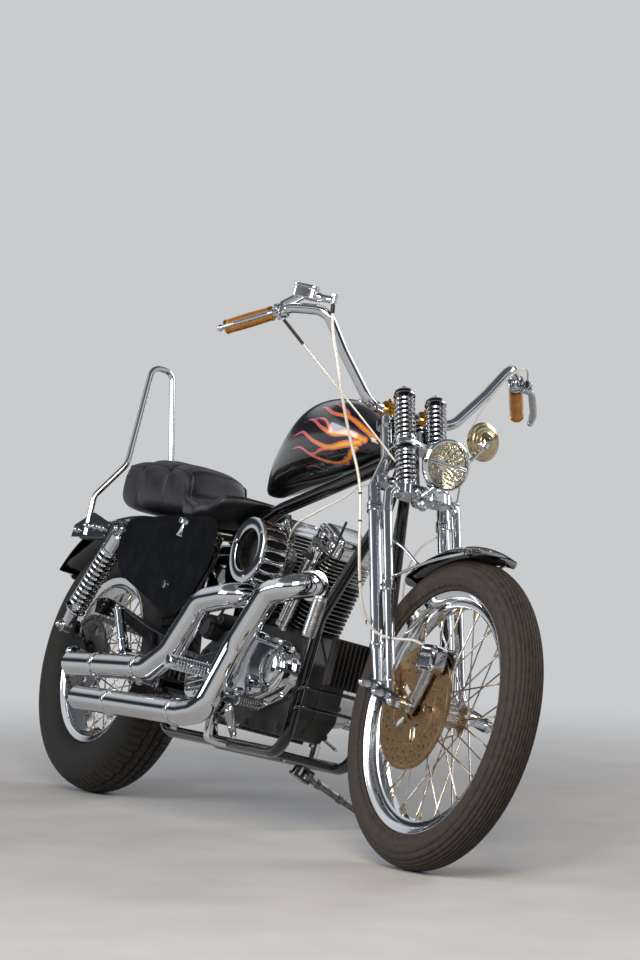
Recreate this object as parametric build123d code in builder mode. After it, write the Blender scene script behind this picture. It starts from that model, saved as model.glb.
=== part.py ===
from build123d import *
import math
import os

# A long-fork chopper motorcycle with a springer fork, a finned V-twin and wire wheels.
# Millimetres, +X forward, +Y to the rider's left, +Z up.
# Each piece is drawn on the upright machine, whose origin is on the floor under the rear
# axle, and is then leaned over onto its side stand as it parks.

# Driving dimensions of the whole machine
WHEELBASE = 1640.0
LEAN_DEG = 14.8
RAKE_DEG = 27.5
HEAD_X = 1172.0
HEAD_Z = 1000.0
JOINT_GAP = 0.3

# The row's origin is on the floor under the middle of the parked machine.
ORIGIN_X = 805.0
ORIGIN_Y = 263.0

# Wheels: the front is a 21 inch, the rear a 16 inch
FRONT_TYRE_R = 357.0
FRONT_TYRE_HALF_W = 46.0
FRONT_CROWN_R = 48.0
FRONT_RIM_R = 280.5
FRONT_RIM_HALF_W = 33.0
REAR_TYRE_R = 336.0
REAR_TYRE_HALF_W = 76.0
REAR_CROWN_R = 84.0
REAR_RIM_R = 217.0
REAR_RIM_HALF_W = 52.0
SPOKE_R = 1.9
SPOKE_GAP = 1.6
SPOKES_FRONT = 40
SPOKES_REAR = 40
FRONT_HUB_HALF_W = 52.0
REAR_HUB_HALF_W = 62.0
DISC_R = 143.0
DISC_T = 5.0
DISC_Y = -76.0
FRONT_AXLE_R = 8.0
REAR_AXLE_R = 10.0
CHAIN_Y = -94.0
REAR_SPROCKET_R = 102.0
FRONT_SPROCKET_R = 48.0
CHAIN_W = 14.0
CHAIN_H = 13.0
GEARBOX_X = 640.0
GEARBOX_Z = 330.0

# Springer fork, in its own frame: x forward of the steering axis, z up along it
LEG_Y = 96.0
LEG_R = 15.0
LEG_X = 0.0
FRONT_LEG_X = 52.0
FRONT_LEG_R = 12.0
STEM_R = 13.0
NECK_R = 27.0
NECK_TOP = -12.0
NECK_LENGTH = 140.0
NECK_BORE_R = STEM_R + 5
TOP_TREE_Z = 2.0
ROCKER_Y = LEG_Y + LEG_R + 7
LEG_UPPER_Y = 58.0
SPRING_X = 57.0
SPRING_Y = 44.0
SPRING_COIL_R = 26.0
SPRING_TOP_Z = 54.0
PERCH_Z = -82.0
PERCH_T = 16.0
YOKE_Z = -202.0
YOKE_TOP = YOKE_Z + 13
REAR_PIVOT_Z = -690.0
FRONT_PIVOT_Z = -735.0
HEADLIGHT_X = 138.0
HEADLIGHT_Z = -160.0
HEADLIGHT_R = 57.0

# Handlebar
BAR_R = 12.7
GRIP_R = 17.0
RISER_X = -5.6
RISER_Z = 43.4
GRIP_LENGTH = 120.0

# Engine: a 45 degree V-twin
CRANK_X = 880.0
CRANK_Z = 385.0
V_HALF_DEG = 22.5
CYL_BASE = 120.0
HEAD_TOP = 338.0
ROCKER_TOP = 382.0
FIN_COUNT = 9
FIN_HALF = 66.0
FIN_T = 3.0
BORE_R = 50.0
CASE_HALF_W = 62.0
CASE_TOP = 492.0

# Frame
TUBE_R = 16.0
RAIL_Y = 96.0
SEAT_RAIL_Y = 110.0
RAIL_Z = 192.0
PIVOT_X = 470.0
POST_X = 446.0
POST_Y = 68.0
PIVOT_Z = 300.0
SWING_Y = 125.0
SHOCK_Y = 154.0

# Side stand: its pin is square to the leg both when it is down and when it is folded back
STAND_PIVOT = Vector(880, 122, 160)
STAND_FOOT = Vector(922, 308, 93)
STAND_FOLDED = Vector(-1, 0.1, 0)
STAND_AXIS = (STAND_FOOT - STAND_PIVOT).cross(STAND_FOLDED).normalized()
STAND_INWARD = Vector(1, 0, 0).cross(STAND_AXIS).normalized()
STAND_EYE_HALF = 10.0
STAND_PIN_R = 6.0

# Cables
BRAKE_HOSE_D = 7.0
CABLE_D = 5.0

FRONT_AXLE = Vector(WHEELBASE, 0, FRONT_TYRE_R)
REAR_AXLE = Vector(0, 0, REAR_TYRE_R)

RAKE = math.radians(RAKE_DEG)
LEAN = math.radians(LEAN_DEG)

# Turning the machine about the floor line would sink its round crowns, so each wheel is
# lifted by what it would sink, which also pitches the machine very slightly.
FRONT_LIFT = FRONT_CROWN_R * (1 - math.cos(LEAN))
REAR_LIFT = REAR_CROWN_R * (1 - math.cos(LEAN))
PITCH_DEG = math.degrees(math.atan2(REAR_LIFT - FRONT_LIFT, WHEELBASE))
PARKED = Location((-ORIGIN_X, -ORIGIN_Y, REAR_LIFT), (0, PITCH_DEG, 0)) * Location(
    (0, 0, 0), (-LEAN_DEG, 0, 0)
)
UPRIGHT = Location((0, 0, 0))
FORK = Plane(
    origin=(HEAD_X, 0, HEAD_Z),
    x_dir=(math.cos(RAKE), 0, math.sin(RAKE)),
    z_dir=(-math.sin(RAKE), 0, math.cos(RAKE)),
)
# The front axle in the fork's own frame
AXLE_X = FORK.to_local_coords(FRONT_AXLE).X
AXLE_Z = FORK.to_local_coords(FRONT_AXLE).Z

os.makedirs("parts", exist_ok=True)


def save(name, builder, place=UPRIGHT):
    """Put a finished piece in its place on the parked machine and write it out."""
    builder.part = PARKED * place * builder.part
    builder.part.label = name
    export_step(builder.part, f"parts/{name}.step")


def tube(points, bend, radius):
    """A round bar along straight runs with rounded corners."""
    with BuildPart() as body:
        with BuildLine() as path:
            if len(points) == 2:
                Line(*points)
            else:
                FilletPolyline(*points, radius=bend)
        start = Plane(origin=path.line @ 0, z_dir=path.line % 0)
        with BuildSketch(start):
            Circle(radius)
        sweep()
    return body.part


def rod(start, end, radius, end_radius=None):
    """A straight round bar between two points, tapered if a second radius is given."""
    start = Vector(start)
    end = Vector(end)
    axis = end - start
    with BuildPart() as body:
        with BuildSketch(Plane(origin=start, z_dir=axis)):
            Circle(radius)
        if end_radius is None:
            extrude(amount=axis.length)
        else:
            with BuildSketch(Plane(origin=end, z_dir=axis)):
                Circle(end_radius)
            loft()
    return body.part


def block(low, high, round_edges=0.0):
    """A box given by two corners, its upright edges rounded."""
    size = Vector(high) - Vector(low)
    with BuildPart() as body:
        with BuildSketch(Plane.XY.offset(low[2])):
            with Locations((low[0] + size.X / 2, low[1] + size.Y / 2)):
                if round_edges:
                    RectangleRounded(size.X, size.Y, round_edges)
                else:
                    Rectangle(size.X, size.Y)
        extrude(amount=size.Z)
    return body.part


# Wheels, each about its own axle
def wheel(prefix, place, tyre_r, half_w, crown_r, rim_r, rim_half_w, hub_half_w, hub_r, spokes):
    bead = rim_r - 12
    shoulder = half_w * 0.86
    crown_y = crown_r * math.sin(math.acos(1 - (tyre_r * 0.045) / crown_r))
    crown_y = min(crown_y, shoulder)
    crown_z = tyre_r - crown_r + math.sqrt(crown_r**2 - crown_y**2)
    widest = (rim_r + tyre_r) / 2 + 4
    with BuildPart() as tyre:
        with BuildSketch(Plane.YZ):
            with BuildLine():
                ThreePointArc((-crown_y, crown_z), (0, tyre_r), (crown_y, crown_z))
                ThreePointArc((crown_y, crown_z), (half_w, widest), (rim_half_w - 3, rim_r + 1))
                Line((rim_half_w - 3, rim_r + 1), (rim_half_w - 8, bead))
                Line((rim_half_w - 8, bead), (-rim_half_w + 8, bead))
                Line((-rim_half_w + 8, bead), (-rim_half_w + 3, rim_r + 1))
                ThreePointArc((-rim_half_w + 3, rim_r + 1), (-half_w, widest), (-crown_y, crown_z))
            make_face()
        revolve(axis=Axis.Y)
    save(f"{prefix}_tyre", tyre, place)

    well = bead - 24
    with BuildPart() as rim:
        with BuildSketch(Plane.YZ):
            with BuildLine():
                Polyline(
                    (-rim_half_w, rim_r),
                    (-rim_half_w + 3, rim_r),
                    (-rim_half_w + 7, bead - JOINT_GAP),
                    (-rim_half_w + 16, bead - JOINT_GAP),
                    (-rim_half_w * 0.35, well + 4),
                    (rim_half_w * 0.35, well + 4),
                    (rim_half_w - 16, bead - JOINT_GAP),
                    (rim_half_w - 7, bead - JOINT_GAP),
                    (rim_half_w - 3, rim_r),
                    (rim_half_w, rim_r),
                    (rim_half_w - 3, bead - 5),
                    (rim_half_w - 15, bead - 6),
                    (rim_half_w * 0.32, well),
                    (-rim_half_w * 0.32, well),
                    (-rim_half_w + 15, bead - 6),
                    (-rim_half_w + 3, bead - 5),
                    close=True,
                )
            make_face()
        revolve(axis=Axis.Y)
    save(f"{prefix}_rim", rim, place)

    flange_y = hub_half_w - 8
    with BuildPart() as hub:
        with BuildSketch(Plane.YZ):
            with BuildLine():
                Polyline(
                    (-hub_half_w, 0),
                    (-hub_half_w, hub_r * 0.55),
                    (-flange_y - 4, hub_r * 0.6),
                    (-flange_y - 4, hub_r),
                    (-flange_y + 4, hub_r),
                    (-flange_y + 10, hub_r * 0.62),
                    (flange_y - 10, hub_r * 0.62),
                    (flange_y - 4, hub_r),
                    (flange_y + 4, hub_r),
                    (flange_y + 4, hub_r * 0.6),
                    (hub_half_w, hub_r * 0.55),
                    (hub_half_w, 0),
                    close=True,
                )
            make_face()
        revolve(axis=Axis.Y)
        add(laced_spokes(spokes, hub_r - 4, flange_y, well - SPOKE_GAP))
    return hub


def laced_spokes(count, start_r, flange_y, end_r):
    """Spokes in pairs that cross, alternately from the left and the right flange."""
    result = []
    for number in range(count):
        side = 1 if number % 2 else -1
        lead = 1 if (number // 2) % 2 else -1
        angle = 360 / count * (number + 0.5)
        hub_angle = math.radians(angle + lead * 62)
        rim_angle = math.radians(angle)
        inner = (start_r * math.cos(hub_angle), side * flange_y, start_r * math.sin(hub_angle))
        outer = (end_r * math.cos(rim_angle), side * 5, end_r * math.sin(rim_angle))
        result.append(rod(inner, outer, SPOKE_R))
    return result


front_place = Location(FRONT_AXLE)
rear_place = Location(REAR_AXLE)

front_hub = wheel(
    "front", front_place, FRONT_TYRE_R, FRONT_TYRE_HALF_W, FRONT_CROWN_R,
    FRONT_RIM_R, FRONT_RIM_HALF_W, FRONT_HUB_HALF_W, 38, SPOKES_FRONT,
)
save("front_hub", front_hub, front_place)
rear_hub = wheel(
    "rear", rear_place, REAR_TYRE_R, REAR_TYRE_HALF_W, REAR_CROWN_R,
    REAR_RIM_R, REAR_RIM_HALF_W, REAR_HUB_HALF_W, 46, SPOKES_REAR,
)
save("rear_hub", rear_hub, rear_place)

HOLE_RINGS = ((100, 20, 0), (113, 20, 9), (126, 20, 0))
with BuildPart() as front_disc:
    with BuildSketch(Plane.XZ.offset(-DISC_Y - DISC_T / 2)):
        Circle(DISC_R)
        Circle(30, mode=Mode.SUBTRACT)
        with PolarLocations(62, 5):
            SlotOverall(38, 17, mode=Mode.SUBTRACT)
        for hole_r, hole_count, turn in HOLE_RINGS:
            with PolarLocations(hole_r, hole_count, start_angle=turn):
                Circle(3.5, mode=Mode.SUBTRACT)
    extrude(amount=DISC_T)
    with BuildSketch(Plane.XZ.offset(-DISC_Y - DISC_T / 2 - 18)):
        Circle(34)
        Circle(20, mode=Mode.SUBTRACT)
    extrude(amount=18)
save("front_disc", front_disc, front_place)

with BuildPart() as rear_sprocket:
    with BuildSketch(Plane.XZ.offset(-CHAIN_Y - 3)):
        Circle(REAR_SPROCKET_R - 7)
        Circle(40, mode=Mode.SUBTRACT)
        with PolarLocations(68, 5):
            Circle(13, mode=Mode.SUBTRACT)
    extrude(amount=6)
    with BuildSketch(Plane.XZ.offset(-CHAIN_Y - 3)):
        Circle(48)
        Circle(40, mode=Mode.SUBTRACT)
    extrude(amount=-(-CHAIN_Y - 3 - REAR_HUB_HALF_W))
save("rear_sprocket", rear_sprocket, rear_place)


# Springer fork: everything here is drawn in the fork's own frame
fork_place = FORK.location

with BuildPart() as fork_rear_legs:
    add(rod((0, 0, TOP_TREE_Z + 14), (0, 0, YOKE_Z + 30), STEM_R))
    add(block((-26, -LEG_UPPER_Y - 20, TOP_TREE_Z - 10), (26, LEG_UPPER_Y + 20, TOP_TREE_Z + 8), 18))
    add(block((-8, -LEG_Y - 4, YOKE_Z + 28), (30, LEG_Y + 4, YOKE_Z + 46), 14))
    for side in (-1, 1):
        upper = (0, side * LEG_UPPER_Y, TOP_TREE_Z + 12)
        bend_top = (0, side * LEG_UPPER_Y, -95)
        bend_low = (LEG_X, side * LEG_Y, -178)
        add(tube([upper, bend_top, bend_low, (LEG_X, side * LEG_Y, -600)], 30, LEG_R))
        add(rod((LEG_X, side * LEG_Y, -590), (0, side * LEG_Y, REAR_PIVOT_Z + 4), LEG_R - 1, 10.5))
        for collar_z in (-226, -238):
            add(rod((LEG_X, side * LEG_Y, collar_z), (LEG_X, side * LEG_Y, collar_z + 7), LEG_R + 3))
        add(rod((0, side * (LEG_Y - 12), REAR_PIVOT_Z), (0, side * (ROCKER_Y - 6.3), REAR_PIVOT_Z), 14))
save("fork_rear_legs", fork_rear_legs, fork_place)

with BuildPart() as fork_front_legs:
    for side in (-1, 1):
        eye = side * LEG_Y
        arm = [
            (SPRING_X, side * (SPRING_Y - 10), YOKE_Z),
            (SPRING_X, side * (LEG_Y - 4), YOKE_Z),
            (FRONT_LEG_X, side * LEG_Y, YOKE_Z - 60),
        ]
        add(tube(arm, 22, FRONT_LEG_R))
        add(rod(arm[-1], (FRONT_LEG_X, eye, FRONT_PIVOT_Z + 6), FRONT_LEG_R - 1))
        inner = (FRONT_LEG_X, side * (LEG_Y - 9), FRONT_PIVOT_Z)
        add(rod(inner, (FRONT_LEG_X, side * (ROCKER_Y - 6.3), FRONT_PIVOT_Z), 13))
    add(block((SPRING_X - 22, -SPRING_Y - 20, YOKE_Z - 12), (SPRING_X + 22, SPRING_Y + 20, YOKE_TOP), 20))
save("fork_front_legs", fork_front_legs, fork_place)


def coil_spring(x, y, low, high, ridges, radius, core):
    """A coil spring as a column of rounded turns about its guide rod."""
    pitch = (high - low) / ridges
    wire = pitch * 0.36
    with BuildPart() as body:
        with BuildSketch(Plane.XZ.offset(-y)):
            with BuildLine():
                outline = [(x, low)]
                for turn in range(ridges):
                    z = low + turn * pitch
                    outline += [(x + core, z), (x + core, z + pitch / 2 - wire)]
                    outline += [(x + radius, z + pitch / 2 - wire / 2)]
                    outline += [(x + radius, z + pitch / 2 + wire / 2)]
                    outline += [(x + core, z + pitch / 2 + wire)]
                outline += [(x + core, high), (x, high)]
                Polyline(*outline, close=True)
            make_face()
        revolve(axis=Axis((x, y, 0), (0, 0, 1)))
    return body.part


with BuildPart() as fork_springs:
    for side in (-1, 1):
        y = side * SPRING_Y
        add(coil_spring(SPRING_X, y, PERCH_Z + PERCH_T + 1, SPRING_TOP_Z, 7, SPRING_COIL_R, 15))
        add(coil_spring(SPRING_X, y, YOKE_TOP + JOINT_GAP, PERCH_Z - 1, 5, SPRING_COIL_R, 15))
        add(rod((SPRING_X, y, YOKE_TOP + JOINT_GAP), (SPRING_X, y, SPRING_TOP_Z + 16), 6))
        add(rod((SPRING_X, y, SPRING_TOP_Z), (SPRING_X, y, SPRING_TOP_Z + 10), SPRING_COIL_R - 2, 12))
        ear = side * (LEG_UPPER_Y - 2)
        add(block((LEG_R + JOINT_GAP, ear - 14, PERCH_Z), (SPRING_X, ear + 14, PERCH_Z + PERCH_T), 5))
    bridge = (NECK_R + 6, -SPRING_Y - 24, PERCH_Z)
    add(block(bridge, (SPRING_X + 22, SPRING_Y + 24, PERCH_Z + PERCH_T), 20))
save("fork_springs", fork_springs, fork_place)

with BuildPart() as fork_rockers:
    for side in (-1, 1):
        with BuildSketch(Plane.XZ.offset(-side * ROCKER_Y)):
            with Locations((0, REAR_PIVOT_Z), (FRONT_LEG_X, FRONT_PIVOT_Z), (AXLE_X, AXLE_Z)):
                Circle(15)
            make_hull()
        extrude(amount=6, both=True)
        for x, z, size in ((0, REAR_PIVOT_Z, 9), (FRONT_LEG_X, FRONT_PIVOT_Z, 9), (AXLE_X, AXLE_Z, 12)):
            tip = side * (ROCKER_Y + 16)
            base = side * (ROCKER_Y + 5)
            add(rod((x, base, z), (x, tip, z), size, size * 0.6))
    axle_end = ROCKER_Y
    add(rod((AXLE_X, -axle_end, AXLE_Z), (AXLE_X, -FRONT_HUB_HALF_W - JOINT_GAP, AXLE_Z), FRONT_AXLE_R))
    add(rod((AXLE_X, axle_end, AXLE_Z), (AXLE_X, FRONT_HUB_HALF_W + JOINT_GAP, AXLE_Z), FRONT_AXLE_R))
save("fork_rockers", fork_rockers, fork_place)

with BuildPart() as risers:
    for side in (-1, 1):
        y = side * 50
        add(rod((RISER_X / 2, y, TOP_TREE_Z + 14 + JOINT_GAP), (RISER_X / 2, y, RISER_Z - 16), 14))
        add(rod((RISER_X, y - 10, RISER_Z), (RISER_X, y + 10, RISER_Z), 21))
        add(rod((RISER_X, y - 13, RISER_Z), (RISER_X, y + 13, RISER_Z), BAR_R + JOINT_GAP), mode=Mode.SUBTRACT)
save("risers", risers, fork_place)

BAR_TABLE = (
    (HEAD_X - 25, 0, HEAD_Z + 36),
    (HEAD_X - 25, 78, HEAD_Z + 36),
    (1169, 114, 1037),
    (1145, 203, 1140),
    (1128, 262, 1222),
    (1062.4, 318.1, 1212.7),
    (951, 414, 1138),
)
BAR_BENDS = (60, 50, 80, 45, 50)
MASTER_END = (1140, -256, 1248)
right_bar = [(x, -y, z) for x, y, z in BAR_TABLE]
left_bar = [(x, y, z) for x, y, z in BAR_TABLE]
with BuildPart() as handlebar:
    add(tube(left_bar, BAR_BENDS, BAR_R))
    add(tube(right_bar, BAR_BENDS, BAR_R))
save("handlebar", handlebar)


GRIP_INNER = (1030, 346, 1191)
GRIP_OUTER = (951, 414, 1138)
GRIP_CAP = 6.0


def on_side(point, side):
    """A point given for the left, or its mirror image for the right."""
    return Vector(point[0], side * point[1], point[2])


with BuildPart() as grips:
    for side in (-1, 1):
        inner = on_side(GRIP_INNER, side)
        outer = on_side(GRIP_OUTER, side)
        along = (outer - inner).normalized()
        add(rod(inner, outer + along * GRIP_CAP, GRIP_R))
        add(rod(inner - along, outer + along * JOINT_GAP, BAR_R + JOINT_GAP), mode=Mode.SUBTRACT)
save("grips", grips)

# Clamps, levers and the brake's master cylinder, all clear of the bar that they hold
CLAMP_INBOARD = 34.0
CLAMP_LENGTH = 26.0
with BuildPart() as hand_controls:
    for side in (-1, 1):
        inner = on_side(GRIP_INNER, side)
        along = (on_side(GRIP_OUTER, side) - inner).normalized()
        base = inner - along * CLAMP_INBOARD
        front = Vector(0.62, side * 0.62, -0.2).normalized()
        add(rod(base, base + along * CLAMP_LENGTH, 20))
        pivot = base + along * 12 + front * 32
        add(rod(base + along * 12 + front * 10, pivot, 9))
        knee = pivot + along * 46 + front * 18
        tip = knee + along * 104 - front * 6
        tip_along = (tip - knee).normalized()
        add(rod(pivot, knee, 8, 6))
        add(rod(knee, tip, 6, 5))
        add(rod(tip - tip_along * 4, tip + tip_along * 9, 8, 6))
    reservoir = Plane(origin=(1080, -300, 1240), x_dir=(0.66, 0.75, 0), z_dir=(0, 0, 1))
    with BuildSketch(reservoir):
        RectangleRounded(58, 44, 8)
    extrude(amount=32)
    add(rod((1046, -336, 1212), (1078, -302, 1250), 11))
    add(rod((1078, -302, 1248), MASTER_END, 9))
    for line in (left_bar, right_bar):
        add(tube(line, BAR_BENDS, BAR_R + JOINT_GAP), mode=Mode.SUBTRACT)
save("hand_controls", hand_controls)

with BuildPart() as headlight:
    plane = Plane(origin=(HEADLIGHT_X + 10, 0, HEADLIGHT_Z), x_dir=(0, 1, 0), z_dir=(math.cos(RAKE), 0, -math.sin(RAKE)))
    with BuildSketch(plane):
        Circle(HEADLIGHT_R)
    extrude(amount=16)
    with BuildSketch(plane):
        Circle(HEADLIGHT_R - 2)
    with BuildSketch(plane.offset(-30)):
        Circle(HEADLIGHT_R * 0.8)
    with BuildSketch(plane.offset(-50)):
        Circle(HEADLIGHT_R * 0.35)
    loft()
    lamp_foot = (HEADLIGHT_X - 8, 0, YOKE_Z)
    add(rod(lamp_foot, (SPRING_X + 22 + JOINT_GAP, 0, YOKE_Z), 7))
    add(rod((HEADLIGHT_X - 8, 0, YOKE_Z - 6), (HEADLIGHT_X - 8, 0, HEADLIGHT_Z), 8))
save("headlight", headlight, fork_place)

with BuildPart() as mirror_arm:
    add(tube([(1318, 36, 952), (1330, 70, 945), (1300, 110, 960), (1292, 140, 1000)], 20, 5))
    with BuildSketch(Plane(origin=(1296, 146, 1016), z_dir=(1, 0.1, 0.1))):
        Circle(30)
    with BuildSketch(Plane(origin=(1282, 145, 1015), z_dir=(1, 0.1, 0.1))):
        Circle(46)
    loft()
save("mirror", mirror_arm)


def mudguard(half_w, top_r, side_r, start, end, thick):
    """A curved guard over a wheel, from one angle to another, measured from straight ahead."""
    turn = math.radians(end)
    plane = Plane(
        origin=(0, 0, 0),
        x_dir=(math.cos(turn), 0, math.sin(turn)),
        z_dir=(-math.sin(turn), 0, math.cos(turn)),
    )
    with BuildPart() as body:
        with BuildSketch(plane):
            with BuildLine():
                ThreePointArc((side_r, -half_w), (top_r, 0), (side_r, half_w))
                Line((side_r, half_w), (side_r - thick, half_w - thick))
                ThreePointArc(
                    (side_r - thick, half_w - thick), (top_r - thick, 0), (side_r - thick, thick - half_w)
                )
                Line((side_r - thick, thick - half_w), (side_r, -half_w))
            make_face()
        revolve(axis=Axis.Y, revolution_arc=end - start)
    return body.part


with BuildPart() as front_fender:
    add(mudguard(56, FRONT_TYRE_R + 32, FRONT_TYRE_R + 6, 72, 134, 2.5))
save("front_fender", front_fender, front_place)

CALIPER_X = 66.0
CALIPER_Z = 112.0
PAD_GAP = 5.0
with BuildPart() as front_caliper:
    with BuildSketch(Plane.XZ.offset(-DISC_Y - 18)):
        with Locations((CALIPER_X, CALIPER_Z)):
            RectangleRounded(74, 62, 12)
    extrude(amount=60)
    with BuildSketch(Plane.XZ.offset(-DISC_Y - DISC_T / 2 - PAD_GAP)):
        Circle(DISC_R + PAD_GAP)
    extrude(amount=DISC_T + 2 * PAD_GAP, mode=Mode.SUBTRACT)
    with BuildSketch(Plane.XZ.offset(-DISC_Y + DISC_T / 2 + PAD_GAP)):
        Circle(17)
        with Locations((CALIPER_X - 8, CALIPER_Z - 10)):
            Circle(16)
        make_hull()
        Circle(FRONT_AXLE_R + JOINT_GAP, mode=Mode.SUBTRACT)
    extrude(amount=6)
save("front_caliper", front_caliper, front_place)

# Frame
neck_mid = FORK.from_local_coords(Vector(0, 0, NECK_TOP - 55))
with BuildPart() as frame:
    add(fork_place * rod((0, 0, NECK_TOP - NECK_LENGTH), (0, 0, NECK_TOP), NECK_R))
    backbone = [neck_mid, (660, 0, 782), (560, 0, 735), (PIVOT_X - 20, 0, 690)]
    add(tube(backbone, 60, TUBE_R))
    for side in (-1, 1):
        cradle = [
            FORK.from_local_coords(Vector(-12, side * 10, -95)),
            FORK.from_local_coords(Vector(-60, side * 22, -190)),
            (1150, side * RAIL_Y, 520),
            (1130, side * RAIL_Y, RAIL_Z),
            (POST_X, side * POST_Y, RAIL_Z),
            (POST_X, side * POST_Y, 640),
            (POST_X - 10, side * 70, 690),
        ]
        add(tube(cradle, (60, 120, 70, 60, 30), TUBE_R - 2))
        rail = [
            (PIVOT_X - 10, 0, 700),
            (410, side * SEAT_RAIL_Y, 688),
            (-140, side * SEAT_RAIL_Y, 655),
        ]
        add(tube(rail, 40, TUBE_R - 1))
    for x, half in ((1060, RAIL_Y - 4), (540, POST_Y)):
        add(rod((x, -half, RAIL_Z), (x, half, RAIL_Z), 10))
    pivot_half = SWING_Y - 14 - JOINT_GAP
    add(rod((PIVOT_X, -pivot_half, PIVOT_Z), (PIVOT_X, pivot_half, PIVOT_Z), 20))
    add(rod(STAND_PIVOT - STAND_AXIS * 17, STAND_PIVOT + STAND_AXIS * 17, STAND_PIN_R))
    for side in (-1, 1):
        lug = STAND_PIVOT + STAND_AXIS * side * (STAND_EYE_HALF + JOINT_GAP)
        with BuildSketch(Plane(origin=lug, x_dir=STAND_INWARD, z_dir=STAND_AXIS * side)):
            Circle(15)
            with Locations((33, 0)):
                Circle(13)
            make_hull()
        extrude(amount=6)
    web = STAND_PIVOT + STAND_INWARD * 33
    add(rod(web - STAND_AXIS * 14, web + STAND_AXIS * 14, 9))
    add(fork_place * rod((0, 0, NECK_TOP - NECK_LENGTH - 1), (0, 0, NECK_TOP + 1), NECK_BORE_R), mode=Mode.SUBTRACT)
save("frame", frame)

with BuildPart() as swingarm:
    for side in (-1, 1):
        y = side * SWING_Y
        add(tube([(PIVOT_X, y, PIVOT_Z), (180, y, 312), (30, y, REAR_TYRE_R)], 200, 14))
        with BuildSketch(Plane.XZ.offset(-y - 5)):
            with Locations((40, REAR_TYRE_R), (-34, REAR_TYRE_R), (-44, 398)):
                Circle(20)
            make_hull()
            with Locations((0, REAR_TYRE_R)):
                Circle(REAR_AXLE_R, mode=Mode.SUBTRACT)
        extrude(amount=10)
        stub = side * (SWING_Y - 14)
        add(rod((0, stub + side * 40, REAR_TYRE_R), (0, stub, REAR_TYRE_R), REAR_AXLE_R - JOINT_GAP))
        add(rod((0, stub, REAR_TYRE_R), (0, side * (REAR_HUB_HALF_W + JOINT_GAP), REAR_TYRE_R), REAR_AXLE_R - 1))
        add(rod((0, side * (SWING_Y + 6), REAR_TYRE_R), (0, side * (SWING_Y + 22), REAR_TYRE_R), 15, 13))
save("swingarm", swingarm)

REAR_FENDER_HALF_W = 92.0
REAR_FENDER_TOP_R = REAR_TYRE_R + 54
REAR_FENDER_EDGE_R = REAR_TYRE_R + 20
REAR_FENDER_END_DEG = 148.0
FENDER_BOLT_X = -120.0
FENDER_BOLT_Z = 656.2
with BuildPart() as rear_fender:
    add(mudguard(REAR_FENDER_HALF_W, REAR_FENDER_TOP_R, REAR_FENDER_EDGE_R, 28, REAR_FENDER_END_DEG, 2.5))
    bolt = Vector(FENDER_BOLT_X, 0, FENDER_BOLT_Z - REAR_TYRE_R)
    reach = sorted((REAR_FENDER_EDGE_R + 1.5, bolt.length))
    for side in (-1, 1):
        tab = Plane(origin=(0, 0, 0), x_dir=bolt.normalized(), z_dir=(0, side, 0))
        with BuildSketch(tab.offset(REAR_FENDER_HALF_W - 3.5)):
            with Locations(((reach[0] + reach[1]) / 2, 0)):
                Rectangle(reach[1] - reach[0], 16)
            with Locations((bolt.length, 0)):
                Circle(11)
        extrude(amount=3.5)
        with BuildSketch(tab.offset(REAR_FENDER_HALF_W - 1)):
            with Locations((bolt.length, 0)):
                Circle(8)
        extrude(amount=SEAT_RAIL_Y - TUBE_R + 1 - JOINT_GAP - REAR_FENDER_HALF_W + 1)
save("rear_fender", rear_fender, rear_place)

with BuildPart() as shocks:
    for side in (-1, 1):
        y = side * SHOCK_Y
        top = Vector(150, y, 662)
        low = Vector(-44, y, 398)
        along = (top - low).normalized()
        plane = Plane(origin=low, z_dir=along)
        spring = coil_spring(0, 0, 70, 270, 7, 27, 19)
        add(plane.location * spring)
        add(rod(low + along * 16, low + along * 70, 13))
        add(rod(low + along * 270, top - along * 14, 24))
        add(rod((low.X, y - 14, low.Z), (low.X, y + 14, low.Z), 17))
        add(rod((top.X, y - 14, top.Z), (top.X, y + 14, top.Z), 17))
        add(rod((top.X, y, top.Z), (top.X, side * (SEAT_RAIL_Y + 15), top.Z), 9))
        add(rod((low.X, y, low.Z), (low.X, side * (SWING_Y + 6), low.Z), 9))
save("shocks", shocks)

# Engine
with BuildPart() as crankcase:
    with BuildSketch(Plane.XZ):
        with BuildLine():
            FilletPolyline(
                (540, 300), (590, 244), (1010, 236), (1066, 290), (1066, 420), (1000, 492),
                (760, 492), (610, 450), (540, 400), radius=26, close=True,
            )
        make_face()
    extrude(amount=CASE_HALF_W, both=True)
save("crankcase", crankcase)

with BuildPart() as primary_cover:
    with BuildSketch(Plane.XZ.offset(-CASE_HALF_W - JOINT_GAP)):
        with Locations((960, 372)):
            Circle(98)
        with Locations((640, 345)):
            Circle(82)
        make_hull()
    extrude(amount=-70)
    fillet(primary_cover.faces().sort_by(Axis.Y)[-1].edges(), 16)
save("primary_cover", primary_cover)

def belt_outline(grow):
    """The outline round both sprockets, grown by the given amount."""
    with BuildSketch() as outline:
        with Locations((0, REAR_TYRE_R)):
            Circle(REAR_SPROCKET_R + grow)
        with Locations((GEARBOX_X, GEARBOX_Z)):
            Circle(FRONT_SPROCKET_R + grow)
        make_hull()
    return outline.sketch


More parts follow.
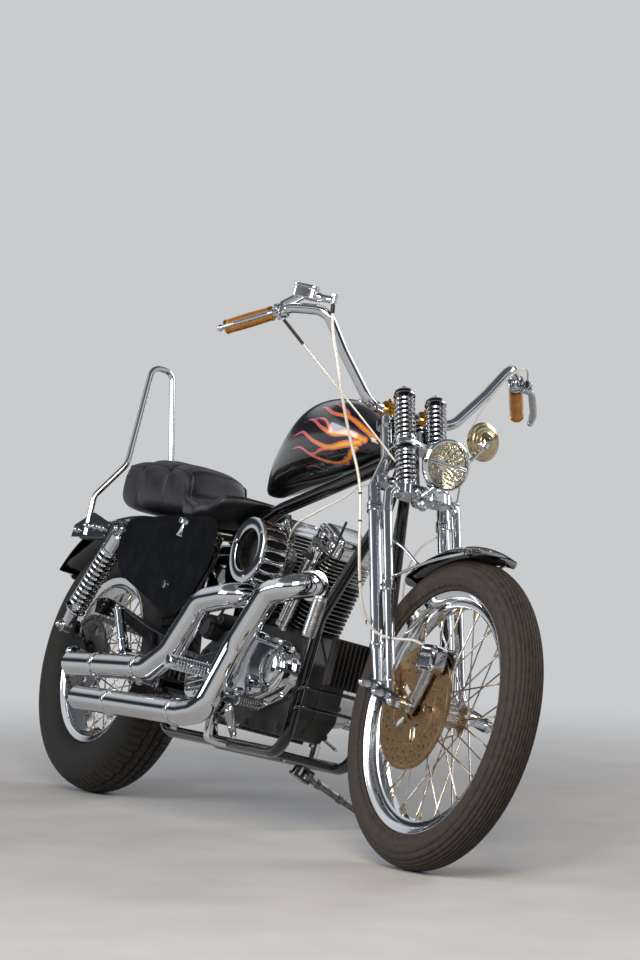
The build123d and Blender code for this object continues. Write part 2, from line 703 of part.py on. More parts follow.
with BuildPart() as cam_cover:
    with BuildSketch(Plane.XZ.offset(CASE_HALF_W + JOINT_GAP)):
        with Locations((990, 385)):
            Circle(72)
        with Locations((800, 410)):
            Circle(64)
        with Locations((900, 330)):
            Circle(50)
        make_hull()
    extrude(amount=48)
    fillet(cam_cover.faces().sort_by(Axis.Y)[0].edges(), 12)
    with BuildSketch(Plane.XZ.offset(CASE_HALF_W + JOINT_GAP)):
        with Locations((GEARBOX_X, GEARBOX_Z)):
            Circle(FRONT_SPROCKET_R + 22)
        with Locations((760, 370)):
            Circle(60)
        make_hull()
    extrude(amount=-CHAIN_Y - CASE_HALF_W + 20)
    with BuildSketch(Plane.XZ.offset(CASE_HALF_W - 1)):
        add(belt_outline(CHAIN_H / 2 + 5))
    extrude(amount=-CHAIN_Y - CASE_HALF_W + 14, mode=Mode.SUBTRACT)
save("cam_cover", cam_cover)


def cylinder_plane(lean):
    turn = math.radians(lean)
    return Plane(
        origin=(CRANK_X, 0, CRANK_Z),
        x_dir=(math.cos(turn), 0, -math.sin(turn)),
        z_dir=(math.sin(turn), 0, math.cos(turn)),
    )


def finned_cylinder():
    """One cylinder and its head standing on its own base, ringed with cooling fins."""
    with BuildPart() as jug:
        with BuildSketch(Plane.XY.offset(CYL_BASE)):
            Circle(BORE_R)
        extrude(amount=HEAD_TOP - CYL_BASE)
        step = (HEAD_TOP - CYL_BASE - FIN_T) / (FIN_COUNT - 1)
        for number in range(FIN_COUNT):
            with BuildSketch(Plane.XY.offset(CYL_BASE + step * number)):
                RectangleRounded(FIN_HALF * 2, FIN_HALF * 2, 30)
            extrude(amount=FIN_T)
    return jug.part


with BuildPart() as cylinders:
    for side in (-1, 1):
        jug = cylinder_plane(side * V_HALF_DEG).location * finned_cylinder()
        middle = Plane.YZ.offset(CRANK_X + side * 3)
        half = split(jug, bisect_by=middle, keep=Keep.TOP if side > 0 else Keep.BOTTOM)
        add(split(half, bisect_by=Plane.XY.offset(CASE_TOP + JOINT_GAP), keep=Keep.TOP))
save("cylinders", cylinders)

with BuildPart() as rocker_boxes:
    for side in (-1, 1):
        head = cylinder_plane(side * V_HALF_DEG)
        cover = block((-66, -58, HEAD_TOP + JOINT_GAP), (66, 58, HEAD_TOP + 30), 24)
        dome = block((-54, -46, HEAD_TOP + 30), (54, 46, ROCKER_TOP), 22)
        whole = head.location * (cover + dome)
        middle = Plane.YZ.offset(CRANK_X + side * 3)
        add(split(whole, bisect_by=middle, keep=Keep.TOP if side > 0 else Keep.BOTTOM))
save("rocker_boxes", rocker_boxes)

PUSHROD_TABLE = ((-1, -36), (-1, -12), (1, 6), (1, 32))
with BuildPart() as pushrod_tubes:
    for side, offset in PUSHROD_TABLE:
        head = cylinder_plane(side * V_HALF_DEG)
        low = head.from_local_coords(Vector(offset, -FIN_HALF - 12, 120))
        high = head.from_local_coords(Vector(offset, -FIN_HALF - 12, HEAD_TOP - 2))
        add(rod(low, high, 9))
        add(rod(low + (high - low) * 0.55, low + (high - low) * 0.62, 12))
save("pushrod_tubes", pushrod_tubes)

INTAKE_Z = 648.0
with BuildPart() as intake:
    add(rod((CRANK_X + 20, -70, INTAKE_Z), (CRANK_X + 20, -124, INTAKE_Z), 26))
    add(block((CRANK_X - 18, -108, INTAKE_Z - 62), (CRANK_X + 46, -74, INTAKE_Z - 20), 10))
save("intake", intake)

with BuildPart() as air_cleaner:
    centre = Vector(CRANK_X + 20, -124.3, INTAKE_Z)
    plane = Plane(origin=centre, x_dir=(1, 0, 0), z_dir=(0, -1, 0))
    with BuildSketch(plane):
        Circle(80)
    extrude(amount=72)
    fillet(air_cleaner.faces().sort_by(Axis.Y)[0].edges(), 14)
    with BuildSketch(plane.offset(40)):
        Circle(52)
    extrude(amount=40, mode=Mode.SUBTRACT)
    with BuildSketch(plane.offset(40)):
        Circle(46)
    extrude(amount=18)
save("air_cleaner", air_cleaner)

# Exhaust: two staggered pipes on the right, each open as far as its baffle
PIPE_R = 31.0
PIPE_WALL = 2.0
PIPE_OPEN = 110.0
rear_pipe = [
    (846, -70, 552), (850, -168, 540), (722, -186, 510), (640, -196, 372), (566, -200, 326), (150, -204, 302),
]
front_pipe = [
    (1040, -74, 598), (1118, -140, 590), (1010, -168, 556), (930, -176, 420),
    (880, -198, 252), (800, -202, 236), (240, -206, 222),
]
for name, points, bends in (
    ("exhaust_rear", rear_pipe, (36, 60, 60, 60)),
    ("exhaust_front", front_pipe, (34, 40, 120, 50, 36)),
):
    mouth = Vector(*points[-1])
    outward = (mouth - Vector(*points[-2])).normalized()
    with BuildPart() as exhaust:
        add(tube(points, bends, PIPE_R))
        add(rod(mouth - outward * PIPE_OPEN, mouth + outward, PIPE_R - PIPE_WALL), mode=Mode.SUBTRACT)
    save(name, exhaust)

# Tank and seat: cross sections from the rear to the front
TANK_TABLE = (
    # x, half width, low z, high z
    (604, 24, 806, 830),
    (690, 70, 830, 940),
    (820, 104, 858, 1046),
    (960, 104, 892, 1062),
    (1060, 70, 922, 1016),
    (1104, 34, 936, 976),
)


def section_loft(table, roundness):
    with BuildPart() as body:
        for x, half, low, high in table:
            with BuildSketch(Plane(origin=(x, 0, (low + high) / 2), x_dir=(0, 1, 0), z_dir=(1, 0, 0))):
                RectangleRounded(half * 2, high - low, min(half, (high - low) / 2) * roundness)
        loft()
    return body.part


with BuildPart() as fuel_tank:
    add(section_loft(TANK_TABLE, 0.9))
save("fuel_tank", fuel_tank)

PILLION_TABLE = (
    (-108, 60, 736, 786),
    (-60, 84, 732, 858),
    (130, 100, 730, 866),
    (318, 96, 724, 820),
)
SADDLE_TABLE = (
    (320, 108, 712, 800),
    (420, 124, 712, 774),
    (530, 104, 756, 800),
    (598, 40, 782, 806),
)
with BuildPart() as seat:
    add(section_loft(PILLION_TABLE, 0.45))
    add(section_loft(SADDLE_TABLE, 0.45))
save("seat", seat)

with BuildPart() as sissy_bar:
    loop = [
        (-100, -134, 640), (-110, -132, 744), (-101, -66, 846), (-168, -30, 1116),
        (-168, 30, 1116), (-101, 66, 846), (-110, 132, 744), (-100, 134, 640),
    ]
    add(tube(loop, (36, 60, 28, 28, 60, 36), 8))
    for side in (-1, 1):
        add(rod((-60, side * (SEAT_RAIL_Y + TUBE_R - 0.7), 660), (-60, side * 138, 660), 8))
        with BuildSketch(Plane.XZ.offset(-side * 133)):
            with BuildLine():
                Polyline((-175, 630), (0, 640), (20, 678), (-80, 700), (-172, 662), close=True)
            make_face()
        extrude(amount=4, both=True)
save("sissy_bar", sissy_bar)

with BuildPart() as oil_tank:
    with BuildSketch(Plane.XZ.offset(130)):
        with BuildLine():
            FilletPolyline(
                (200, 656), (640, 682), (646, 620), (560, 508), (500, 500), (220, 580),
                radius=24, close=True,
            )
        make_face()
    extrude(amount=36)
    fillet(oil_tank.faces().sort_by(Axis.Y)[0].edges(), 12)
    add(rod((480, -150, 668), (486, -150, 702), 18))
save("oil_tank", oil_tank)

with BuildPart() as battery_cover:
    with BuildSketch(Plane.XZ.offset(-130)):
        with BuildLine():
            FilletPolyline(
                (200, 656), (640, 682), (646, 560), (560, 508), (500, 500), (220, 560),
                radius=24, close=True,
            )
        make_face()
    extrude(amount=-36)
    fillet(battery_cover.faces().sort_by(Axis.Y)[-1].edges(), 12)
save("battery_cover", battery_cover)

PEG_X = 842.0
PEG_Z = 346.0
PEG_R = 15.0
PEG_FOOT_Y = 160.0
PEG_END_Y = 300.0
with BuildPart() as foot_controls:
    for side in (-1, 1):
        rail_y = RAIL_Y + TUBE_R - 1 + JOINT_GAP - (1130 - PEG_X) / (1130 - POST_X) * (RAIL_Y - POST_Y)
        arm = [(PEG_X, side * rail_y, RAIL_Z), (PEG_X, side * 148, RAIL_Z), (PEG_X, side * 148, PEG_Z)]
        add(tube(arm, 24, 10))
        add(rod((PEG_X, side * 136, PEG_Z), (PEG_X, side * PEG_FOOT_Y, PEG_Z), PEG_R + 3))
        add(rod((PEG_X, side * PEG_FOOT_Y, PEG_Z), (PEG_X, side * PEG_END_Y, PEG_Z), PEG_R))
        pedal = [(PEG_X, side * 147, 300), (PEG_X + 120, side * 146, 300), (PEG_X + 250, side * 190, 290)]
        add(tube(pedal, 60, 8))
        add(rod((PEG_X + 250, side * 170, 290), (PEG_X + 250, side * 230, 290), 13))
save("foot_controls", foot_controls)

with BuildPart() as passenger_pegs:
    for side in (-1, 1):
        start = side * (POST_Y + TUBE_R - 2 + JOINT_GAP)
        add(tube([(POST_X, start, 352), (POST_X, side * 156, 352), (330, side * 156, 352)], 30, 9))
        add(rod((330, side * 158, 350), (250, side * 162, 462), 13))
save("passenger_pegs", passenger_pegs)

with BuildPart() as regulator:
    add(block((1152, -52, 372), (1166, 52, 486), 4))
    for number in range(9):
        y = -48 + number * 12
        add(block((1166, y - 1.5, 374), (1186, y + 1.5, 484)))
save("regulator", regulator)

with BuildPart() as canister:
    add(rod((1166, -124, 470), (1176, -120, 570), 17))
save("canister", canister)

with BuildPart() as tail_lamp:
    lamp_turn = math.radians(REAR_FENDER_END_DEG - 0.5)
    lamp_reach = REAR_FENDER_TOP_R + 27
    lamp_at = REAR_AXLE + Vector(math.cos(lamp_turn), 0, math.sin(lamp_turn)) * lamp_reach
    lamp = Plane(origin=lamp_at, x_dir=(0, 1, 0), z_dir=(-0.88, 0, 0.47))
    with BuildSketch(lamp.offset(-22)):
        RectangleRounded(70, 44, 18)
    extrude(amount=50)
save("tail_lamp", tail_lamp)

with BuildPart() as drive_chain:
    with BuildSketch(Plane.XZ.offset(-CHAIN_Y)):
        add(belt_outline(CHAIN_H / 2))
        add(belt_outline(-CHAIN_H / 2), mode=Mode.SUBTRACT)
    extrude(amount=CHAIN_W / 2, both=True)
save("drive_chain", drive_chain)

with BuildPart() as rear_caliper:
    add(block((30, 78, REAR_TYRE_R + 60), (96, 104, REAR_TYRE_R + 118), 8))
save("rear_caliper", rear_caliper)

# Side stand, drawn where it is when it carries the parked machine
with BuildPart() as side_stand:
    add(rod(STAND_PIVOT, STAND_FOOT, 9))
    add(rod(STAND_PIVOT - STAND_AXIS * STAND_EYE_HALF, STAND_PIVOT + STAND_AXIS * STAND_EYE_HALF, 15))
    add(
        rod(STAND_PIVOT - STAND_AXIS * 20, STAND_PIVOT + STAND_AXIS * 20, STAND_PIN_R + JOINT_GAP),
        mode=Mode.SUBTRACT,
    )
    floor = Plane(PARKED.inverse())
    parked_foot = PARKED * Pos(STAND_FOOT)
    with BuildSketch(floor):
        with Locations((parked_foot.position.X, parked_foot.position.Y)):
            SlotOverall(68, 44)
    extrude(amount=9)
save("side_stand", side_stand)


# Cables and hose: straight runs joined by arcs as large as the runs allow
def cord(name, points, diameter):
    """A cable along a route, with its arc radii printed and its volume checked."""
    corners = [Vector(*point) for point in points]
    runs = [after - before for before, after in zip(corners, corners[1:])]
    radii = []
    for before, after in zip(runs, runs[1:]):
        half_turn = math.radians(before.get_angle(after) / 2)
        radii.append(0.45 * min(before.length, after.length) / math.tan(half_turn))
    with BuildPart() as body:
        add(tube(points, radii, diameter / 2))
    with BuildLine() as path:
        FilletPolyline(*points, radius=radii)
    length = sum(edge.length for edge in path.edges())
    expected = math.pi * diameter**2 / 4 * length
    print(name, "length", round(length), "volume ratio", round(body.part.volume / expected, 4))
    print("  radii", [round(radius) for radius in radii], "runs", [round(run.length) for run in runs])
    save(name, body)


def from_fork(*points):
    """Points given in the fork's own frame, in the machine's."""
    return [tuple(FORK.from_local_coords(Vector(*point))) for point in points]


# The hose hangs in front of the right leg of the bar and follows the rear fork leg down.
BRAKE_HOSE = [
    (1140, -256, 1238.7), (1154, -255, 1190), (1190, -238, 1112), (1208, -212, 1030), (1221, -172, 940),
]
BRAKE_HOSE += from_fork(
    (2, -137, -165), (-14, -126, -235), (-26, -123, -310), (-30, -122, -395), (-22, -123, -480),
    (10, -125, -550), (62, -122, -598), (120, -112, -626),
)
BRAKE_HOSE += [(1622, -97, 506), (1667.4, -95, 488)]
cord("brake_hose", BRAKE_HOSE, BRAKE_HOSE_D)

# The throttle cable is pulled straight from the grip, then turns in past the neck.
THROTTLE_CABLE = [(1049.5, -325.3, 1181.3)]
THROTTLE_CABLE += from_fork((27, -62, -100), (6, -34, -126), (-44, -38, -132))
THROTTLE_CABLE += [(1106, -46, 852), (1048, -56, 816), (988, -78, 776), (930, -97, 734), (902, -98, 675.6)]
cord("throttle_cable", THROTTLE_CABLE, CABLE_D)

# The clutch cable arches over the left perch and drops behind the headlight to the engine.
CLUTCH_CABLE = [
    (1074.4, 348.9, 1199), (1116, 318, 1224), (1158, 280, 1226), (1174, 240, 1200), (1193, 200, 1150),
    (1213, 160, 1090), (1232, 130, 1026),
]
CLUTCH_CABLE += from_fork((46, 122, -50), (36, 124, -112), (6, 128, -170), (-36, 118, -222))
CLUTCH_CABLE += [
    (1224, 84, 744), (1207, 72, 690), (1196, 80, 632), (1186, 96, 576), (1172, 112, 522),
    (1140, 124, 482), (1090, 112, 468), (1031.3, 97, 442.7),
]
cord("clutch_cable", CLUTCH_CABLE, CABLE_D)
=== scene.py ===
import math

import bpy
import numpy as np
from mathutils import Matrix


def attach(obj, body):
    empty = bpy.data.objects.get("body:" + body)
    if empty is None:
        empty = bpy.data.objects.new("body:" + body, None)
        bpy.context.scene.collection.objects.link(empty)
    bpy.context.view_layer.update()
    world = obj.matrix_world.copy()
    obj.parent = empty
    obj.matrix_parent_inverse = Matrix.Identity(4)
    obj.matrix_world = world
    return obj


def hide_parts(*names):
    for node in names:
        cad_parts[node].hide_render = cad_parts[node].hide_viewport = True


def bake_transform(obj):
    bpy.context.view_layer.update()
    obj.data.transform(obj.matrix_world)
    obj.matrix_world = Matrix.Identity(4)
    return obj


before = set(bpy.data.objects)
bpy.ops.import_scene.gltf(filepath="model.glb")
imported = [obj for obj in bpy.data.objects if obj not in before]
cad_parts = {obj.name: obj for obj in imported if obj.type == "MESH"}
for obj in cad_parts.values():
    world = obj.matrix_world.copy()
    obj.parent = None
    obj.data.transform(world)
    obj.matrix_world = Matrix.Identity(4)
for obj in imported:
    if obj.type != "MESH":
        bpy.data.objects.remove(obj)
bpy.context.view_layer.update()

# Lengths are millimetres on the upright machine: x forward of the rear axle, y to the
# machine's left, z up from the floor. PARK leans the machine onto its stand, in metres.
AHEAD, ACROSS, UP = np.eye(3)
OUT = -ACROSS
FROM_SIDE = AHEAD, UP
FROM_ABOVE = AHEAD, ACROSS
SIDES = (-1, 1)
LEAN = math.radians(14.8)
WHEELBASE = 1640.0
ORIGIN = np.array([805.0, 263.0])
CROWNS = {"front": 48.0, "rear": 84.0}
AXLES = {"front": np.array([WHEELBASE, 0, 357.0]), "rear": np.array([0, 0, 336.0])}
RAKE = math.radians(27.5)
HEAD = np.array([1172.0, 0.0, 1000.0])


def parking():
    """Lean about the floor line, lift each round crown back to the floor, then move the origin."""
    lift = {end: crown * (1 - math.cos(LEAN)) for end, crown in CROWNS.items()}
    pitch = math.atan2(lift["rear"] - lift["front"], WHEELBASE)
    roll = np.eye(4)
    roll[1:3, 1:3] = [[math.cos(LEAN), math.sin(LEAN)], [-math.sin(LEAN), math.cos(LEAN)]]
    nod = np.eye(4)
    nod[0, [0, 2]] = [math.cos(pitch), math.sin(pitch)]
    nod[2, [0, 2]] = [-math.sin(pitch), math.cos(pitch)]
    nod[:3, 3] = [-ORIGIN[0], -ORIGIN[1], lift["rear"]]
    return np.diag([0.001, 0.001, 0.001, 1.0]) @ nod @ roll


def placing(x_axis, y_axis, z_axis, spot):
    """The 4 x 4 matrix of a frame with these axes at a spot."""
    made = np.eye(4)
    made[:3] = np.stack([x_axis, y_axis, z_axis, spot], 1)
    return made


PARK = parking()
# The fork's own frame: x ahead of the steering axis, z up along it, from the head.
STEERING = np.array([-math.sin(RAKE), 0, math.cos(RAKE)])
FORK = placing([math.cos(RAKE), 0, math.sin(RAKE)], ACROSS, STEERING, HEAD)


def moved(points, place):
    """Points turned and shifted by a 4 x 4 matrix."""
    return np.asarray(points, float) @ place[:3, :3].T + place[:3, 3]


def from_fork(*points):
    """Points given in the fork's own frame, on the machine; a single point comes back bare."""
    made = moved(points, FORK)
    return made if len(points) > 1 else made[0]


def unit(vector):
    """A vector, or each row of several, at length one."""
    vector = np.asarray(vector, float)
    return vector / np.linalg.norm(vector, axis=-1, keepdims=True)


def round_turn(count):
    """Angles evenly spaced round one turn."""
    return np.linspace(0, 2 * np.pi, count, endpoint=False)


def polar(radius, angle):
    """An offset at an angle in the upright plane along the machine."""
    return np.array([radius * math.cos(angle), 0, radius * math.sin(angle)])


# Shapes: each is (corners, quads, triangles), joined before it becomes one piece.
def skin(grid, closed=False):
    """Quads over a grid of rings; the end rings close on their middle points, or meet."""
    nu, nv = grid.shape[:2]
    index = np.arange(nu * nv).reshape(nu, nv)
    if closed:
        index = np.vstack([index, index[:1]])
    index = np.hstack([index, index[:, :1]])
    quads = np.stack([index[:-1, :-1], index[1:, :-1], index[1:, 1:], index[:-1, 1:]], -1)
    corners = grid.reshape(-1, 3)
    triangles = np.zeros((0, 3), int)
    if not closed:
        corners = np.vstack([corners, grid[0].mean(0), grid[-1].mean(0)])
        first, last = index[0], index[-1]
        low = np.stack([np.full(nv, nu * nv), first[:-1], first[1:]], -1)
        high = np.stack([np.full(nv, nu * nv + 1), last[1:], last[:-1]], -1)
        triangles = np.vstack([low, high])
    return outward((corners, quads.reshape(-1, 4), triangles))


def outward(shape):
    """A closed shape turned so that its signed volume, and so every face, is outward."""
    corners, quads, triangles = shape
    middle = corners.mean(0)
    split = np.vstack([quads[:, [0, 1, 2]], quads[:, [0, 2, 3]], triangles])
    a, b, c = (corners[split[:, k]] - middle for k in range(3))
    if np.einsum("ij,ij->i", a, np.cross(b, c)).sum() < 0:
        return corners, quads[:, ::-1], triangles[:, ::-1]
    return shape


def together(shapes):
    """Several shapes as one."""
    starts = np.cumsum([0] + [len(shape[0]) for shape in shapes[:-1]])
    corners = np.vstack([shape[0] for shape in shapes])
    return corners, *(
        np.vstack([shape[k] + start for shape, start in zip(shapes, starts)]) for k in (1, 2)
    )


def placed(shape, place):
    """The shape turned and shifted by a 4 x 4 matrix."""
    return outward((moved(shape[0], place), shape[1], shape[2]))


def mirrored(shape):
    """The shape's mirror image on the machine's other side."""
    return outward((shape[0] * [1, -1, 1], shape[1], shape[2]))


def axes_for(axis):
    """Two directions square to an axis and to each other."""
    axis = unit(axis)
    side = unit(np.cross(UP if abs(axis[2]) < 0.9 else AHEAD, axis))
    return side, np.cross(axis, side), axis


def turned(profile, base, axis, sides=48, hollow=False):
    """A turned piece: each (distance, radius) pair gives the ring base + distance along the axis
    + radius times the cosine and sine of the angle round it."""
    profile = np.asarray(profile, float)
    side, up, along = axes_for(axis)
    angle = round_turn(sides)[:, None]
    ring = np.cos(angle) * side + np.sin(angle) * up
    grid = np.asarray(base, float) + profile[:, :1, None] * along + profile[:, 1:, None] * ring
    return skin(grid, hollow)


def hollow_turned(profile, base, axis, sides=64):
    """A turned ring whose closed profile doesn't reach the axis."""
    return turned(profile, base, axis, sides, True)


def collar(base, axis, low, high, inner, outer, ease, sides):
    """A turned band between two heights, its edges eased from one radius to another."""
    profile = [(low, inner), (low + ease, outer), (high - ease, outer), (high, inner)]
    return turned(profile, base, axis, sides)


def flowing(points, count):
    """A smooth curve through points: a Catmull-Rom spline sampled evenly in its parameter."""
    points = np.asarray(points, float)
    padded = np.vstack([2 * points[0] - points[1], points, 2 * points[-1] - points[-2]])
    t = np.linspace(0, len(points) - 1 - 1e-9, count)
    i = t.astype(int)
    f = (t - i)[:, None]
    p0, p1, p2, p3 = (padded[i + k] for k in range(4))
    return 0.5 * (
        2 * p1 + (p2 - p0) * f + (2 * p0 - 5 * p1 + 4 * p2 - p3) * f**2
        + (3 * p1 - p0 - 3 * p2 + p3) * f**3
    )


def flowing_loop(points, count):
    """The smooth outline through points and back to the first."""
    return flowing([*points, points[0]], count)[:-1]


def carried(path, section, up=UP, scale=1.0, closed=False):
    """A closed section of (side, up) offsets carried along a path, kept square to it and near a
    given up direction: the path's point + scale times each offset along its own direction."""
    path, section = np.asarray(path, float), np.asarray(section, float)
    run = unit(np.roll(path, -1, 0) - np.roll(path, 1, 0) if closed else np.gradient(path, axis=0))
    side = unit(np.cross(np.asarray(up, float), run))
    rise = np.cross(run, side)
    scaled = np.broadcast_to(scale, len(path))[:, None, None] * section
    grid = path[:, None] + scaled[..., :1] * side[:, None] + scaled[..., 1:] * rise[:, None]
    return skin(grid, closed)


def circle(radius, sides=16, flat=1.0):
    """A round section: radius times cosine across and sine up, or an oval, flattened upward."""
    angle = round_turn(sides)
    return np.stack([radius * np.cos(angle), radius * flat * np.sin(angle)], -1)


def pipe(points, radius, sides=16, count=None, up=(0.13, 0.21, 0.97)):
    """A round tube along a smooth curve through the points."""
    return carried(flowing(points, count or 10 * len(points)), circle(radius, sides), up)


def bar(start, end, radius, edge=0.8, sides=20):
    """A straight round bar with eased edges."""
    run = np.subtract(end, start)
    length = np.linalg.norm(run)
    edge = min(edge, radius * 0.5, length * 0.4)
    return collar(start, run, 0, length, radius - edge, radius, edge, sides)


def lifted(ring, height, base, x_axis, y_axis):
    """A flat outline drawn on two directions from a base, at a height along their normal."""
    x_axis, y_axis = unit(x_axis), unit(y_axis)
    normal = np.cross(x_axis, y_axis)
    return np.asarray(base, float) + ring[:, :1] * x_axis + ring[:, 1:] * y_axis + height * normal


def plate(outline, thickness, base, x_axis, y_axis, edge=1.0):
    """A flat plate: an outline on two directions at four heights, drawn in toward its middle at
    the lowest and the highest by the width of its eased edges."""
    outline = np.asarray(outline, float)
    middle = outline.mean(0)
    reach = np.linalg.norm(outline - middle, axis=1, keepdims=True)
    inner = middle + (outline - middle) * (1 - edge / np.maximum(reach, edge * 2))
    rows = [(inner, 0), (outline, edge), (outline, thickness - edge), (inner, thickness)]
    return skin(np.stack([lifted(ring, height, base, x_axis, y_axis) for ring, height in rows]))


def rounded_box(width, height, corner, steps=6):
    """The outline of a rectangle about its middle: a quarter circle at each of its corners."""
    parts = []
    for quarter, ways in enumerate(((1, 1), (-1, 1), (-1, -1), (1, -1))):
        angle = np.linspace(0, np.pi / 2, steps) + quarter * np.pi / 2
        middle = np.multiply(ways, (width / 2 - corner, height / 2 - corner))
        parts.append(middle + corner * np.stack([np.cos(angle), np.sin(angle)], -1))
    return np.vstack(parts)


def helix(base, axis, radius, wire, pitch, turns, sides=10, steps=28):
    """A coil spring: a round wire on a helix that climbs by its pitch each turn, save in the
    first and last 0.8 of a turn, which lie flat."""
    side, up, along = axes_for(axis)
    t = np.linspace(0, turns, int(turns * steps))[:, None]
    height = 1.2 * wire * (np.minimum(t, 0.8) + np.clip(t - turns + 0.8, 0, 1))
    height = height + pitch * np.clip(t - 0.8, 0, turns - 1.6)
    ring = np.cos(2 * np.pi * t) * side + np.sin(2 * np.pi * t) * up
    path = np.asarray(base, float) + radius * ring + height * along
    across = unit(np.cross(unit(np.gradient(path, axis=0)), ring))
    section = circle(wire, sides)
    return skin(path[:, None] + section[:, :1] * ring[:, None] + section[:, 1:] * across[:, None])


def hex_bolt(base, axis, across=13.0, height=6.0):
    """A hexagon head with a chamfered top and a washer face."""
    corner = across / math.sqrt(3)
    head = turned([(0, corner), (height * 0.8, corner), (height, corner * 0.82)], base, axis, 6)
    return together([head, turned([(-0.2, across * 0.72), (1.2, across * 0.72)], base, axis, 20)])


def dome_nut(base, axis, across=13.0):
    """An acorn nut: a hexagon with a domed end."""
    corner = across / math.sqrt(3)
    flats = [(0, corner), (across * 0.4, corner), (across * 0.46, corner * 0.86)]
    turn = np.linspace(0, np.pi / 2 * 0.94, 7)
    dome = np.stack([across * (0.44 + 0.42 * np.sin(turn)), across * 0.43 * np.cos(turn)], -1)
    return together([turned(flats, base, axis, 6), turned(dome, base, axis, 20)])


def socket_bolt(base, axis, radius=5.0, height=5.0):
    """A round socket head with a sunk hollow."""
    profile = [
        (0, radius), (height - 0.6, radius), (height, radius - 0.6), (height, radius * 0.58),
        (height * 0.45, radius * 0.52),
    ]
    return turned(profile, base, axis, 18)


# Colours and materials
def srgb(text):
    """An sRGB hex value as linear colour."""
    values = np.array([int(text[i : i + 2], 16) for i in (1, 3, 5)]) / 255
    linear = np.where(values <= 0.04045, values / 12.92, ((values + 0.055) / 1.055) ** 2.4)
    return (*linear.tolist(), 1.0)


def node(tree, kind, inputs=None, **settings):
    """One node with its settings, and its sockets set or linked."""
    made = tree.nodes.new(kind)
    for key, value in settings.items():
        setattr(made, key, value)
    for key, value in (inputs or {}).items():
        if isinstance(value, bpy.types.NodeSocket):
            tree.links.new(value, made.inputs[key])
        else:
            made.inputs[key].default_value = value
    return made


def noise(tree, place, size_mm, detail=3.0, rough=0.55):
    """Cloudy noise whose blobs are about a real size, on a model in metres."""
    inputs = {"Vector": place, "Scale": 1000.0 / size_mm, "Detail": detail, "Roughness": rough}
    return node(tree, "ShaderNodeTexNoise", inputs).outputs[0]


def spread(tree, value, low, high, from_low=0.35, from_high=0.65):
    """A noise's middle range stretched to a wanted range."""
    inputs = {"Value": value, "From Min": from_low, "From Max": from_high, "To Min": low, "To Max": high}
    return node(tree, "ShaderNodeMapRange", inputs).outputs[0]


def two_tone(tree, value, first, second):
    """A colour between two hex colours."""
    inputs = {"Factor": value, "A": srgb(first), "B": srgb(second)}
    return node(tree, "ShaderNodeMix", inputs, data_type="RGBA").outputs["Result"]


def bumped(tree, shader, height, depth_mm, strength=1.0):
    """A bump of a real depth on the shader's normal."""
    inputs = {"Height": height, "Distance": depth_mm / 1000, "Strength": strength}
    bump = node(tree, "ShaderNodeBump", inputs)
    tree.links.new(bump.outputs[0], shader.inputs["Normal"])


def finish(name, inputs, cloud=None, tones=None, rough=None, reach=(), grain=None, cells=None):
    """A material named for what it is. Its tones and its roughness follow one cloudy noise of
    (size in mm, detail), and its bump follows a finer grain or a pattern of cells, given as
    (size in mm, its kind, depth in mm, strength). Patterns hang on Object coordinates."""
    material = bpy.data.materials.new(name)
    material.use_nodes = True
    tree = material.node_tree
    tree.nodes.clear()
    shader = node(tree, "ShaderNodeBsdfPrincipled", inputs)
    output = node(tree, "ShaderNodeOutputMaterial")
    tree.links.new(shader.outputs[0], output.inputs[0])
    place = node(tree, "ShaderNodeTexCoord").outputs["Object"]
    value = noise(tree, place, *cloud) if cloud else None
    if tones:
        colour = two_tone(tree, spread(tree, value, 0, 1, *reach), *tones)
        tree.links.new(colour, shader.inputs["Base Color"])
    if rough:
        tree.links.new(spread(tree, value, *rough), shader.inputs["Roughness"])
    if grain:
        bumped(tree, shader, noise(tree, place, *grain[:2]), *grain[2:])
    if cells:
        pattern = {"Vector": place, "Scale": 1000 / cells[0]}
        height = node(tree, "ShaderNodeTexVoronoi", pattern, feature=cells[1]).outputs["Distance"]
        bumped(tree, shader, height, *cells[2:])
    return material, tree, shader, place


METAL = {"Metallic": 1.0}
# Chromium plate over polished steel: a cold mirror with faint haze from wiping.
CHROME = finish("polished_chrome_plate", METAL | {"Base Color": srgb("#d4d6d9")}, (38, 4),
                rough=(0.03, 0.09), grain=(26, 1, 0.05, 0.25))[0]
# Chrome low on the machine, where spray and dust dull it brown.
WORN_CHROME = finish("road_worn_chrome", METAL, (22, 5), ("#d2d3d4", "#b09a80"),
                     (0.08, 0.26))[0]
# Stoved gloss enamel: near black under a clear coat, with a little orange peel and dust.
BLACK = finish("stoved_gloss_black_enamel",
               {"Coat Weight": 1.0, "Coat Roughness": 0.04, "IOR": 1.5, "Specular IOR Level": 0.15},
               (45, 5), ("#050506", "#0e0d10"), (0.08, 0.2), (0.4, 0.8), (5, 1, 0.02, 0.2))[0]
# Crackle-finish engine enamel on cast alloy: satin black with a fine raised crinkle.
CRINKLE = finish("black_crinkle_enamel", {"IOR": 1.5}, (60, 4), ("#131314", "#25221f"),
                 (0.36, 0.6), cells=(2.2, "F1", 0.25, 0.5))[0]
# Zinc-plated steel fasteners and chain: grey, slightly blotched and oily.
STEEL = finish("zinc_plated_steel", METAL, (9, 4), ("#8b8c8e", "#5f5a52"), (0.28, 0.48))[0]
# Sand-cast then buffed aluminium: soft shine with a faint grain.
ALLOY = finish("buffed_cast_aluminium", METAL, (30, 4), ("#c4c5c7", "#99948c"), (0.2, 0.38),
               grain=(1.6, 3, 0.06, 0.4))[0]
# Stainless brake disc ground by its pads, bronzed by heat and brake dust.
DISC = finish("pad_ground_stainless", METAL, (34, 4), ("#b8966a", "#7f6243"), (0.24, 0.4),
              grain=(0.9, 2, 0.04, 0.4))[0]
